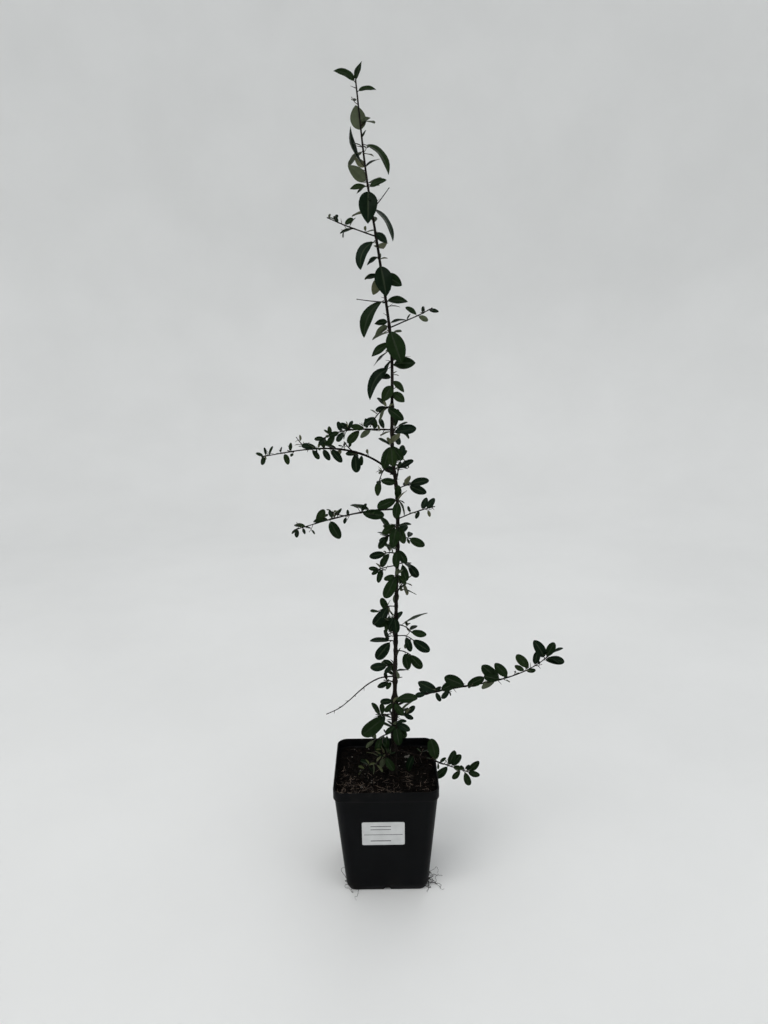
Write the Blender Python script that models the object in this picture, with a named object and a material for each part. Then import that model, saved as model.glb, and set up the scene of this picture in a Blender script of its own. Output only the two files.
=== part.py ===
"""Potted firethorn: a young evergreen shrub, trained upright, in a square plastic pot.

Metres, +Z up.  The origin is the centre of the pot's flat underside, +X is to the right
and -Y is the front.  Plant sizes are in centimetres, as read off a tape, and CM turns them
into metres.
"""

import math
import random
from collections import Counter, namedtuple

import bmesh
import bpy
from mathutils import Matrix, Vector
from mathutils.bvhtree import BVHTree

CM = 0.01
UP = Vector((0.0, 0.0, 1.0))
FRONT = Vector((0.0, -1.0, 0.0))
BACK = Vector((0.0, 1.0, 0.0))
GAP = 0.0003  # between two pieces that touch
UPRIGHT = 0.999  # a direction steeper than this counts as upright
# Boolean solvers, each with the distance under which vertices are merged: the first that
# leaves a sound body is used.
ATTEMPTS = (("EXACT", 5e-7), ("EXACT", 1e-9), ("MANIFOLD", 5e-7), ("MANIFOLD", 1e-9), ("EXACT", 2e-6))
GRAIN = 1e-7  # a sound body stays closed with its vertices rounded to this

# Pot: a tapered square with rounded corners and a stepped collar
POT_HEIGHT = 0.136
RIM_WIDTH = 0.120
FOOT_WIDTH = 0.095
WALL = 0.0014
FLOOR = 0.0018
COLLAR_HEIGHT = 0.012
COLLAR_STEP = 0.0014
RIM_ROUND = 0.0007
CORNER_RADIUS = 0.012
FOOT_INSET = 0.002
FOOT_ROUND = 0.009
NOTCH_RADIUS = 0.004
NOTCH_DEPTH = 0.008
NOTCH_LIFT = 0.0008
DRAIN_RADIUS = 0.004
DRAIN_SPACING = 0.054
CORNER_STEPS = 4
CUTTER_SIDES = 12

# Soil: fills the pot to a little under the rim
SOIL_TOP = 0.126
SOIL_RELIEF = 0.0016
SOIL_FLAT_RADIUS = 0.014
SOIL_EDGE = 0.0015
SOIL_RINGS = (0.985, 0.84, 0.66, 0.48)
SOIL_SEED = 3

# Main stem: its line and radius in centimetres, each against the height
STEM_LINE = (
    (12.6, 0.9, 0.1), (22.0, 1.15, 0.0), (34.0, 1.45, -0.2), (45.0, 1.7, -0.1), (51.5, 1.2, 0.1),
    (60.0, 1.27, 0.2), (64.0, 1.05, 0.1), (72.0, -0.05, 0.0), (79.0, -1.1, -0.1), (87.4, -1.95, 0.0),
)
FLARE_TOP = 13.4
KNUCKLE = (20.8, 21.8, 22.8)  # foot, middle and top of the swelling where the stem was once cut
STEM_RADIUS = (
    (12.6, 0.62), (FLARE_TOP, 0.38), (KNUCKLE[0], 0.31), (KNUCKLE[1], 0.44), (KNUCKLE[2], 0.24),
    (34.0, 0.18), (46.0, 0.175), (57.0, 0.165), (70.0, 0.14), (87.4, 0.075),
)
TRUNK_TOP = 57.0
TRUNK_SIDES = 8
TRUNK_STEP = 2.0
LEADER_TOP = 87.4
LEADER_STEP = 1.9

# Twigs and leaves
BOUGH_SIDES = 6
TWIG_SIDES = 3
TWIG_STEP = 1.5
TWIG_RADIUS = 0.065
TWIG_TIP_RADIUS = 0.045
LEAF_WIDTH = 0.44  # share of a leaf's length
LEAF_THICKNESS = 0.0006
LEAF_SHOULDERS = ((0.36, 0.86), (0.74, 0.96))  # share of the length, share of the width
SMALL_LEAF = 0.014  # a leaf under this length has one pair of shoulders
SMALL_LEAF_SHOULDERS = ((0.58, 1.0),)
LEAF_ROOT_HEIGHT = 0.0009
LEAF_CROWN = 0.03
TIP_INSET = 0.0014  # a leaf at a twig's tip is rooted this far inside it
BLADE_START = 0.3  # the blade that keeps clear of its own mass starts at this share of a leaf
LEAF_SPREAD = (0.85, 1.08)  # seeded leaves, as a share of the shoot's leaf length
SMALL_SPREAD = (0.42, 0.62)
LEAF_FORWARD = (0.15, 0.55)  # how far a seeded leaf leans along its twig
LEAF_LIFT = (-0.15, 0.45)
LEAF_HANG = (-0.75, -0.15)  # the lift of the leader's leaves, which hang
LEAF_TILT = 0.5
LEAF_SWING = 0.5  # radians of seeded swing round the twig at the first try
SMALL_SWING = 1.3  # radians between a bud's leaf and its smaller ones
TRY_SHRINK = 0.05
SIDE_TWIG_LENGTH = (1.4, 2.2)
SIDE_TWIG_SPREAD = (0.4, 0.9)
SIDE_TWIG_LIFT = (0.2, 0.7)
SIDE_TWIG_FORWARD = 0.7
SIDE_TWIG_BEND = 0.25
SIDE_TWIG_BUDS = 3
SIDE_TWIG_LEAF = 0.6  # share of the shoot's leaf length
LEADER_TWIG_LEAF = 1.2
FIRST_BUD = 0.3  # share of a side twig that is bare
SHOOT_BARE = 0.08  # share of a shoot that is bare before its first bud
STEM_GROWTH = 0.003  # a shoot's foot is thicker by this for each centimetre of its length
BOUGH_EXTRA = 0.02
BARE_TWIG_RADIUS = 0.075
BUD_STEP = 0.0022  # between the leaves of one bud
ROOT_STEP = 0.0005  # keeps the roots of leaves of one place apart
CLEARANCE = 0.0004
GOLDEN_TURN = math.radians(137.5)
LEADER_TURN = math.radians(38)  # the leader's seeded leaves stand to each side of the back
TRIES = 7
JITTERS = (0, 8, -8, 16, -16, 26, -26)  # degrees that a leaf may turn to find room

# A shoot leaves the stem at a height, on a compass angle from +X, with a slope at its foot,
# its middle and its tip.  It carries seeded buds, each with one leaf and some smaller ones,
# and seeded side twigs.
Shoot = namedtuple("Shoot", "height azimuth slopes length buds leaf small twigs bough")

SHOOTS = {
    "left_high": Shoot(53.4, 183, (2, -3, -30), 7.4, 2, 1.3, 1, 1, 0.0),
    "left_mid": Shoot(48.6, 180, (50, 3, -9), 14.8, 4, 1.3, 1, 2, 2.4),
    "left_low": Shoot(44.7, 178, (0, -13, -17), 11.4, 2, 1.3, 1, 1, 1.8),
    "right_branch": Shoot(21.3, -3, (31, 11, 46), 18.5, 1, 1.6, 1, 0, 2.6),
    "low_right": Shoot(15.3, 2, (-14, -22, -20), 9.1, 1, 1.3, 1, 0, 2.2),
    "back_high": Shoot(47.5, 84, (20, 12, 4), 8.0, 5, 2.0, 1, 1, 0.0),
    "back_low": Shoot(29.0, 98, (28, 14, 8), 7.0, 5, 2.2, 1, 1, 0.0),
    "spur_left_23": Shoot(24.2, 176, (20, 10, 0), 0.9, 1, 1.1, 2, 0, 0.0),
    "spur_left_26": Shoot(26.4, 188, (0, -10, -20), 0.8, 1, 1.6, 1, 0, 0.0),
    "spur_left_29": Shoot(29.3, 180, (10, 0, -10), 0.9, 1, 1.6, 1, 0, 0.0),
    "spur_left_31": Shoot(31.9, 190, (0, -20, -40), 1.0, 1, 1.2, 1, 0, 0.0),
    "spur_left_33": Shoot(33.5, 185, (10, 0, -10), 0.9, 1, 1.6, 1, 0, 0.0),
    "spur_left_36": Shoot(38.3, 196, (0, -8, -10), 2.0, 1, 1.2, 1, 0, 0.0),
    "spur_left_38": Shoot(39.7, 184, (20, 0, -20), 1.3, 2, 1.5, 1, 0, 0.0),
    "spur_left_42": Shoot(41.9, 200, (10, -10, -30), 1.3, 2, 1.7, 1, 0, 0.0),
    "spur_left_48": Shoot(49.9, 206, (-20, -55, -70), 2.6, 2, 1.2, 1, 0, 0.0),
    "spur_left_56": Shoot(55.9, 190, (-10, -46, -60), 3.0, 1, 1.0, 1, 0, 0.0),
    "spur_right_27": Shoot(28.1, 0, (0, -20, -40), 1.5, 1, 1.7, 1, 0, 0.0),
    "spur_right_29": Shoot(29.9, 8, (10, -20, -50), 1.9, 1, 1.7, 1, 0, 0.0),
    "spur_right_31": Shoot(31.3, -8, (6, -32, -50), 1.8, 1, 1.5, 0, 0, 0.0),
    "spur_right_38": Shoot(38.5, 4, (20, 0, -10), 1.2, 2, 1.7, 1, 0, 0.0),
    "spur_right_41": Shoot(41.4, -5, (20, 0, -10), 1.1, 1, 1.6, 1, 0, 0.0),
    "spur_right_44": Shoot(43.7, 0, (24, 18, 12), 3.9, 1, 0.9, 1, 0, 0.0),
    "spur_right_47": Shoot(47.0, -8, (30, 20, 10), 1.3, 2, 1.9, 0, 0, 0.0),
    "spur_right_55": Shoot(55.8, -140, (20, 0, -10), 0.9, 2, 1.7, 1, 0, 0.0),
    "spur_front_51": Shoot(51.8, 264, (20, 0, -20), 1.2, 2, 1.9, 1, 0, 0.0),
    "spur_front_45": Shoot(45.9, 272, (20, 0, -20), 1.2, 2, 1.9, 1, 0, 0.0),
    "spur_front_42": Shoot(43.0, 262, (20, 0, -20), 1.1, 2, 1.9, 1, 0, 0.0),
    "spur_front_36": Shoot(37.4, 262, (20, 0, -20), 1.0, 2, 1.8, 1, 0, 0.0),
    "spur_front_25": Shoot(25.0, 280, (20, 0, -20), 1.0, 1, 1.5, 1, 0, 0.0),
    "spur_back_54": Shoot(52.9, 76, (30, 10, 0), 2.4, 3, 2.2, 1, 0, 0.0),
    "spur_back_41": Shoot(40.6, 100, (20, 10, 0), 3.2, 4, 2.3, 1, 0, 0.0),
    "spur_back_35": Shoot(35.0, 70, (30, 10, 0), 2.6, 4, 2.2, 1, 0, 0.0),
    "spur_back_24": Shoot(24.2, 88, (30, 10, 0), 3.0, 4, 2.2, 1, 0, 0.0),
    "tuft_left_20": Shoot(20.1, 190, (4, -4, -10), 1.5, 1, 1.8, 2, 0, 0.0),
    "tuft_left_18": Shoot(17.7, 198, (0, -20, -30), 2.2, 2, 1.4, 2, 0, 0.0),
    "tuft_left_16": Shoot(15.4, 219, (16, -14, -32), 4.4, 5, 1.8, 1, 1, 0.0),
    "tuft_front_18": Shoot(19.5, 278, (10, -20, -40), 1.2, 2, 1.7, 1, 0, 0.0),
    "tuft_front_15": Shoot(15.3, 236, (24, 4, -20), 1.8, 2, 1.7, 1, 0, 0.0),
    "tuft_right_19": Shoot(19.9, 4, (20, 0, -10), 1.2, 2, 1.4, 1, 0, 0.0),
    "tuft_back_17": Shoot(17.2, 92, (30, 12, 0), 3.4, 5, 2.2, 1, 0, 0.0),
    "spur_front_40": Shoot(40.3, 264, (20, 0, -20), 0.9, 1, 1.5, 1, 0, 0.0),
    "spur_front_32": Shoot(32.5, 256, (20, 0, -20), 0.9, 1, 1.4, 1, 0, 0.0),
    "spur_front_22": Shoot(22.2, 262, (10, -6, -20), 1.0, 1, 1.3, 1, 0, 0.0),
    "twig_left_73": Shoot(73.1, 180, (20, 20, 26), 4.9, 1, 0.8, 0, 0, 0.0),
    "twig_right_64": Shoot(64.1, -4, (24, 22, 30), 4.5, 1, 0.8, 0, 0, 0.0),
}
SHOOT_SEED = 41

# The leader's side twigs: height, compass angle, slope, length, seeded buds
LEADER_TWIGS = (
    (75.5, -10, 52, 2.6, 0), (66.6, 182, 6, 2.9, 0), (70.2, 95, 25, 3.0, 2), (61.2, 80, 20, 3.4, 3),
)
LEADER_BUDS = 9
LEADER_LEAF = 2.7
LEADER_BUD_FOOT = 57.8
LEADER_BUD_TOP = 84.0

# A bare twig arches out over the pot's left side
BARE_TWIG = Shoot(24.9, 184, (8, -42, -15), 9.0, 0, 0.0, 0, 0, 0.0)

# Leaves that show: place along the shoot (a height on the leader, else a share of the
# length), angle in the front view, sine of the lean to the front, length, and how far the
# blade turns its upper side (or, below zero, its under side) to the front
Shown = namedtuple("Shown", "place angle lean length face bow", defaults=(0.0,))
SHOWN_LEAVES = {
    "leader": (
        Shown(87.3, 73, 0.0, 1.9, 0.5), Shown(87.2, 153, 0.1, 2.4, 0.6, -0.1),
        Shown(86.5, 5, 0.0, 1.9, 0.6, 0.06), Shown(82.9, 101, -0.4, 3.0, -1.0),
        Shown(82.2, 78, 0.0, 0.9, 0.4), Shown(79.6, 108, 0.0, 4.0, 0.3, 0.18),
        Shown(81.8, -47, 0.1, 3.9, 0.38, 0.12), Shown(79.7, 32, -0.3, 1.8, 0.25),
        Shown(79.5, 136, -0.3, 1.5, -0.9), Shown(81.5, 178, 0.1, 1.1, 0.2),
        Shown(78.2, 136, -0.2, 2.6, -0.8), Shown(77.9, 184, 0.0, 1.8, 0.5),
        Shown(77.9, 214, 0.0, 1.4, 0.3), Shown(77.7, 20, 0.2, 2.0, 0.6),
        Shown(77.7, 270, 0.3, 3.6, 1.0), Shown(76.0, -57, 0.2, 4.1, 0.18, 0.10),
        Shown(73.5, -44, 0.2, 1.7, 0.8), Shown(72.7, 240, 0.25, 3.4, 0.5, -0.17),
        Shown(71.2, 212, 0.0, 1.5, 0.4), Shown(70.6, 282, 0.3, 3.5, 1.0),
        Shown(69.2, 187, 0.0, 1.8, 0.4), Shown(69.5, -32, 0.1, 2.4, 0.8),
        Shown(69.4, 245, -0.4, 2.3, -0.8), Shown(66.9, -2, 0.1, 2.3, 0.5),
        Shown(66.9, 237, 0.1, 4.5, 0.4, -0.11), Shown(64.7, 186, 0.0, 1.5, 0.7),
        Shown(64.4, 213, 0.1, 1.8, -0.6), Shown(64.6, 4, 0.2, 1.9, 0.3),
        Shown(64.0, 288, 0.3, 3.9, 1.0), Shown(62.6, 214, 0.1, 2.5, 0.4),
        Shown(62.0, 222, 0.0, 2.6, 0.1), Shown(60.9, 238, 0.1, 1.6, 0.2), Shown(60.3, 4, 0.2, 2.5, 0.8),
        Shown(60.1, 233, 0.2, 4.2, 0.4, -0.12), Shown(59.0, 176, 0.0, 1.7, 0.5),
        Shown(58.8, -45, 0.2, 1.8, 0.5), Shown(58.2, 240, 0.4, 2.2, 0.9),
        Shown(57.5, -40, 0.4, 1.8, 0.9),
    ),
    "left_high": (
        Shown(0.20, 104, 0.1, 1.3, 0.8), Shown(0.09, 112, 0.1, 1.3, 0.8),
        Shown(0.30, 52, 0.0, 1.5, 0.5), Shown(0.28, 214, 0.1, 1.5, -0.8),
        Shown(0.38, 166, 0.2, 1.6, 0.6), Shown(0.43, 227, 0.1, 2.0, 0.8),
        Shown(0.34, 96, 0.1, 1.2, 0.8), Shown(0.58, 146, 0.2, 1.4, 0.9), Shown(0.62, 60, 0.0, 1.1, 0.6),
        Shown(0.66, 232, 0.1, 1.4, 0.9), Shown(0.72, 104, 0.2, 1.2, 0.8),
        Shown(0.74, 196, 0.3, 1.3, 0.9), Shown(0.82, 238, 0.2, 1.5, 0.8),
        Shown(0.88, 92, 0.1, 1.0, 0.7), Shown(0.94, 222, 0.1, 1.2, 0.8),
        Shown(1.00, 186, 0.1, 1.1, 0.8),
    ),
    "left_mid": (
        Shown(1.00, 158, 0.0, 0.95, 0.5), Shown(0.98, 98, 0.0, 0.95, 0.4),
        Shown(0.96, 66, 0.0, 1.1, 0.4), Shown(0.85, -74, 0.1, 1.35, 0.6),
        Shown(0.64, -52, 0.1, 1.35, 0.7), Shown(0.56, -61, 0.1, 1.45, 0.9),
        Shown(0.505, -50, 0.2, 1.9, 1.0), Shown(0.33, -87, 0.2, 2.2, 1.0),
        Shown(0.45, 158, 0.1, 1.6, 0.3), Shown(0.80, 82, 0.0, 1.0, 0.8),
        Shown(0.60, 165, 0.2, 1.8, 0.6), Shown(0.55, 108, 0.1, 1.1, 0.9),
        Shown(0.28, 170, 0.1, 1.6, 0.5), Shown(0.27, 262, 0.1, 1.2, 0.5),
        Shown(0.76, 150, 0.1, 0.9, 0.5),
    ),
    "left_low": (
        Shown(0.65, -63, 0.2, 2.4, 1.0), Shown(0.34, 60, 0.1, 1.2, 0.6),
        Shown(0.66, 184, 0.1, 1.8, 0.3), Shown(0.90, 172, 0.0, 1.3, 0.5),
        Shown(0.24, 157, -0.2, 2.4, 0.2), Shown(0.18, 60, 0.1, 1.3, 0.7),
        Shown(0.35, -4, 0.3, 2.7, 0.9), Shown(0.99, 200, 0.0, 0.9, 0.5), Shown(0.79, 58, 0.1, 1.9, 0.9),
        Shown(0.58, 64, 0.1, 1.2, 0.4), Shown(0.62, 40, 0.0, 1.2, 0.3), Shown(0.94, -70, 0.1, 0.8, 0.7),
        Shown(0.10, 236, 0.2, 1.6, 0.8),
    ),
    "right_branch": (
        Shown(0.265, 152, 0.1, 2.6, 0.8), Shown(0.20, 140, 0.1, 1.2, 0.8),
        Shown(0.20, 197, 0.2, 1.4, 0.8), Shown(0.26, -66, 0.2, 1.3, 0.9),
        Shown(0.345, 226, 0.2, 1.5, 0.9), Shown(0.28, 13, 0.1, 2.4, 0.6),
        Shown(0.45, 153, 0.1, 2.8, 0.7), Shown(0.45, 28, 0.1, 2.4, 0.7),
        Shown(0.66, 137, 0.2, 3.0, 1.0), Shown(0.67, 161, 0.3, 2.3, 0.9),
        Shown(0.64, 206, 0.1, 1.9, -0.9), Shown(0.72, 133, 0.0, 2.3, 0.8),
        Shown(0.855, 131, 0.1, 2.4, 0.9), Shown(0.825, 149, 0.1, 1.4, 0.9),
        Shown(0.83, 12, 0.1, 1.2, 0.8), Shown(0.90, 84, 0.1, 1.9, 1.0), Shown(0.97, 127, 0.1, 2.7, 0.8),
        Shown(0.98, 68, 0.1, 2.1, 0.8), Shown(0.96, -2, 0.1, 2.4, 0.45),
        Shown(1.00, 32, 0.0, 2.1, -0.2), Shown(0.24, 40, 0.1, 1.1, 0.7),
    ),
    "low_right": (
        Shown(0.545, 103, -0.1, 2.9, 0.9), Shown(0.59, 36, 0.0, 1.0, 0.5),
        Shown(0.725, 222, 0.2, 2.2, 0.9), Shown(0.73, 70, 0.1, 2.2, 1.0),
        Shown(0.75, 52, 0.0, 1.9, 0.6), Shown(0.77, -8, 0.1, 1.3, 0.8), Shown(0.90, 228, 0.2, 1.5, 0.8),
        Shown(0.96, -74, 0.2, 1.9, 1.0), Shown(1.00, 46, 0.1, 2.0, 0.8),
        Shown(1.00, -17, 0.1, 1.6, 0.9), Shown(0.24, 247, 0.1, 2.2, 0.4),
    ),
    "spur_left_23": (Shown(0.4, 208, 0.1, 1.6, 0.9), Shown(0.2, 236, 0.2, 1.1, 0.8)),
    "spur_left_26": (
        Shown(0.7, 186, 0.1, 2.1, 0.8), Shown(0.3, 231, 0.1, 1.3, 0.9), Shown(0.3, 146, 0.2, 1.2, 0.8),
    ),
    "spur_left_29": (Shown(0.3, 228, 0.2, 2.7, 1.0), Shown(0.4, 178, 0.1, 2.4, 0.2)),
    "spur_left_31": (
        Shown(0.2, 187, 0.2, 1.7, 0.9), Shown(0.5, 207, 0.1, 1.8, 0.8), Shown(0.9, 258, 0.1, 1.2, 0.6),
    ),
    "spur_left_33": (Shown(0.6, 229, 0.2, 2.8, 1.0),),
    "spur_left_36": (
        Shown(1.0, 172, 0.1, 1.2, 0.9), Shown(0.95, 214, 0.1, 1.1, 0.9), Shown(0.8, 252, 0.2, 1.7, 0.6),
    ),
    "spur_left_38": (Shown(0.8, 190, 0.1, 1.9, 0.8), Shown(0.5, 243, 0.2, 1.9, 0.6)),
    "spur_left_42": (
        Shown(0.6, 231, 0.1, 1.9, 0.5), Shown(0.2, 204, 0.3, 1.8, 1.0), Shown(0.9, 212, 0.0, 1.0, 0.5),
    ),
    "spur_left_48": (
        Shown(0.9, 262, 0.1, 1.8, 0.4), Shown(1.0, -8, 0.2, 1.7, 0.8), Shown(0.2, 250, 0.0, 1.9, 0.2),
    ),
    "spur_left_56": (
        Shown(0.76, 214, 0.1, 2.1, 0.3), Shown(0.62, 212, 0.2, 1.7, 0.6),
        Shown(0.1, 200, 0.2, 1.4, 0.7),
    ),
    "spur_right_27": (Shown(1.0, -48, 0.1, 2.3, 0.9), Shown(0.6, -80, 0.2, 2.1, 0.9)),
    "spur_right_29": (Shown(0.9, -34, 0.2, 2.5, 0.9), Shown(0.5, -72, 0.3, 1.9, 0.9)),
    "spur_right_31": (Shown(0.9, -14, 0.1, 1.9, 1.0), Shown(0.2, 24, -0.1, 3.4, -0.2)),
    "spur_right_38": (Shown(0.8, -56, 0.1, 2.0, 0.9), Shown(0.3, -76, 0.2, 2.1, 0.9)),
    "spur_right_41": (Shown(0.9, -25, 0.1, 2.0, 0.9),),
    "spur_right_44": (
        Shown(0.66, 68, 0.1, 1.5, 0.9), Shown(0.80, 52, 0.1, 1.5, 0.9), Shown(0.62, 244, 0.1, 1.0, 0.7),
    ),
    "spur_right_47": (Shown(0.9, 14, 0.1, 2.3, 0.6), Shown(0.9, -24, 0.1, 2.2, 1.0)),
    "spur_right_55": (Shown(0.6, -37, 0.3, 2.3, 0.9),),
    "spur_front_51": (
        Shown(0.8, 274, 0.3, 2.2, 1.0), Shown(0.6, 306, 0.2, 2.0, 1.0), Shown(0.4, 250, 0.1, 2.7, 0.5),
    ),
    "spur_front_45": (
        Shown(0.7, 88, 0.3, 1.8, 1.0), Shown(0.4, 200, 0.2, 2.3, 0.8), Shown(0.9, 262, 0.3, 2.0, 1.0),
    ),
    "spur_front_42": (
        Shown(0.8, 256, 0.3, 2.3, 1.0), Shown(0.5, 292, 0.2, 2.2, 0.9), Shown(0.3, 203, 0.3, 1.9, 0.9),
    ),
    "spur_front_36": (Shown(0.5, 244, 0.3, 2.9, 1.0), Shown(0.8, 196, 0.2, 1.4, 0.8)),
    "spur_back_54": (
        Shown(0.4, 4, 0.1, 2.4, 0.9), Shown(0.1, 14, 0.2, 2.3, 0.5), Shown(0.2, -62, 0.1, 1.5, 0.7),
    ),
    "spur_back_35": (Shown(0.05, 258, -0.2, 1.5, -0.8),),
    "tuft_left_20": (
        Shown(0.3, 212, 0.3, 3.8, 1.0), Shown(1.0, 122, 0.0, 1.9, 0.3), Shown(0.8, 92, 0.1, 1.6, 0.6),
    ),
    "tuft_left_18": (
        Shown(0.9, 100, 0.1, 1.6, -0.8), Shown(0.6, 250, 0.3, 1.8, 0.9),
        Shown(1.0, 212, 0.2, 1.5, -0.7), Shown(0.3, 264, 0.3, 1.9, 0.9),
    ),
    "tuft_front_18": (
        Shown(0.7, 278, 0.3, 2.4, 1.0), Shown(0.5, -28, 0.2, 1.9, 0.7), Shown(0.3, 300, 0.2, 2.3, 0.9),
    ),
    "tuft_front_15": (Shown(0.8, 302, 0.3, 1.9, 0.9),),
    "tuft_right_19": (
        Shown(0.9, 52, 0.1, 1.5, 0.9), Shown(0.6, -20, 0.2, 1.3, 0.9), Shown(0.1, 33, 0.2, 3.3, -0.35),
    ),
    "spur_front_40": (Shown(0.6, 264, 0.3, 2.0, 1.0), Shown(0.4, 302, 0.2, 1.9, 0.9)),
    "spur_front_32": (Shown(0.5, 252, 0.2, 1.9, 0.9), Shown(0.7, 278, 0.3, 1.9, 1.0)),
    "spur_front_22": (
        Shown(0.4, 11, 0.2, 2.8, 0.35), Shown(0.5, 182, 0.2, 1.6, 0.6), Shown(0.8, 306, 0.3, 1.9, 0.9),
        Shown(0.9, 226, 0.3, 1.5, 0.9),
    ),
    "twig_left_73": (
        Shown(0.44, 198, 0.1, 1.5, 0.4), Shown(0.55, 54, 0.0, 1.1, 0.2), Shown(0.67, 36, 0.1, 1.1, 0.9),
        Shown(0.80, 128, 0.1, 0.8, 0.8),
    ),
    "twig_right_64": (
        Shown(0.34, 164, 0.1, 1.0, 0.9), Shown(0.38, 58, 0.0, 0.8, 0.4),
        Shown(0.66, 144, 0.0, 1.5, 0.5), Shown(0.68, -26, 0.1, 1.2, -0.9),
        Shown(0.96, -8, 0.1, 1.1, 0.7),
    ),
}

Leaf = namedtuple("Leaf", "root direction normal length width bow")
Solid = namedtuple("Solid", "verts faces")
Placed = namedtuple("Placed", "node centre reach whole blade")


def clear_scene():
    """Remove every object that the file opened with."""
    for item in list(bpy.data.objects):
        bpy.data.objects.remove(item, do_unlink=True)


def plain_material(name, colour, roughness):
    """A Principled material of one colour."""
    material = bpy.data.materials.new(name)
    material.use_nodes = True
    shader = material.node_tree.nodes["Principled BSDF"]
    shader.inputs["Base Color"].default_value = (*colour, 1.0)
    shader.inputs["Roughness"].default_value = roughness
    shader.inputs["Metallic"].default_value = 0.0
    return material


def solid_object(name, solid, material=None):
    """A mesh object made of one closed solid."""
    mesh = bpy.data.meshes.new(name)
    mesh.from_pydata(solid.verts, [], solid.faces)
    mesh.validate()
    item = bpy.data.objects.new(name, mesh)
    bpy.context.scene.collection.objects.link(item)
    if material:
        mesh.materials.append(material)
    return item


# Lines and curves


def read_table(table, height):
    """Value of a table of (height, value) at a height, on straight lines."""
    for (low, low_value), (high, high_value) in zip(table, table[1:]):
        if height <= high:
            share = max(0.0, (height - low) / (high - low))
            return low_value + (high_value - low_value) * share
    return table[-1][1]


def stem_point(height):
    """Point of the main stem at a height in centimetres, on a smooth curve."""
    last = len(STEM_LINE) - 1
    index = next((i for i in range(last) if height <= STEM_LINE[i + 1][0]), last - 1)
    near, far = STEM_LINE[index], STEM_LINE[index + 1]
    span = far[0] - near[0]
    share = min(1.0, max(0.0, (height - near[0]) / span))
    coordinates = []
    for axis in (1, 2):
        slopes = []
        for knot in (index, index + 1):
            low, high = STEM_LINE[max(knot - 1, 0)], STEM_LINE[min(knot + 1, last)]
            slopes.append((high[axis] - low[axis]) / (high[0] - low[0]) * span)
        ends = near[axis], far[axis]
        square, cube = share ** 2, share ** 3
        coordinates.append(
            (2 * cube - 3 * square + 1) * ends[0] + (cube - 2 * square + share) * slopes[0]
            + (3 * square - 2 * cube) * ends[1] + (cube - square) * slopes[1]
        )
    return Vector((coordinates[0], coordinates[1], height)) * CM


def stem_path(foot, top, step):
    """Points of the main stem from one height to another, evenly spaced."""
    count = max(1, round((top - foot) / step))
    return [stem_point(foot + (top - foot) * i / count) for i in range(count + 1)]


def heading(azimuth, slope):
    """Unit vector on a compass angle from +X, at a slope, both in degrees."""
    across, rise = math.radians(azimuth), math.radians(slope)
    return Vector((math.cos(rise) * math.cos(across), math.cos(rise) * math.sin(across), math.sin(rise)))


def arc_path(start, azimuth, slopes, length, step):
    """Points of a shoot whose slope turns smoothly from foot to middle to tip."""
    count = max(2, round(length / step))
    points = [start]
    for i in range(count):
        t = (i + 0.5) / count
        slope = (
            slopes[0] * (1 - t) * (1 - 2 * t) + slopes[1] * 4 * t * (1 - t) + slopes[2] * t * (2 * t - 1)
        )
        points.append(points[-1] + heading(azimuth, slope) * (length * CM / count))
    return points


def along(path, share):
    """Point and direction at a share of a path of equal steps, kept inside its tip."""
    inset = TIP_INSET / (path[-1] - path[-2]).length
    place = min(max(share, 0.0) * (len(path) - 1), len(path) - 1 - inset)
    index = int(place)
    run = path[index + 1] - path[index]
    return path[index] + run * (place - index), run.normalized()


def shoot_path(shoot, radius):
    """Path of a shoot, starting a gap clear of the main stem."""
    outward = heading(shoot.azimuth, 0)
    reach = read_table(STEM_RADIUS, shoot.height) * CM + GAP
    reach += radius * abs(math.sin(math.radians(shoot.slopes[0])))
    start = stem_point(shoot.height) + outward * reach
    return arc_path(start, shoot.azimuth, shoot.slopes, shoot.length, TWIG_STEP)


def taper(count, foot, tip):
    """Radii in metres that shrink evenly, from two radii in centimetres."""
    return [(foot + (tip - foot) * i / (count - 1)) * CM for i in range(count)]


# Solids


def tube(points, radii, sides, level_foot=False):
    """Closed tube round a line of points, with flat ends."""
    verts, faces = [], []
    side = None
    for i, point in enumerate(points):
        run = points[min(i + 1, len(points) - 1)] - points[max(i - 1, 0)]
        direction = UP if level_foot and i == 0 else run.normalized()
        side = direction.orthogonal() if side is None else side
        side = (side - direction * side.dot(direction)).normalized()
        other = direction.cross(side)
        for k in range(sides):
            angle = 2 * math.pi * k / sides
            verts.append(point + (side * math.cos(angle) + other * math.sin(angle)) * radii[i])
    for i in range(len(points) - 1):
        for k in range(sides):
            a, b = i * sides + k, i * sides + (k + 1) % sides
            faces.append((a, b, b + sides, a + sides))
    faces.append(tuple(reversed(range(sides))))
    faces.append(tuple(range(len(verts) - sides, len(verts))))
    return Solid(verts, faces)


def bow_at(leaf, share):
    """How far a leaf's middle line bows out at a share of its length."""
    return leaf.bow * leaf.length * 4 * share * (1 - share)


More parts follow.
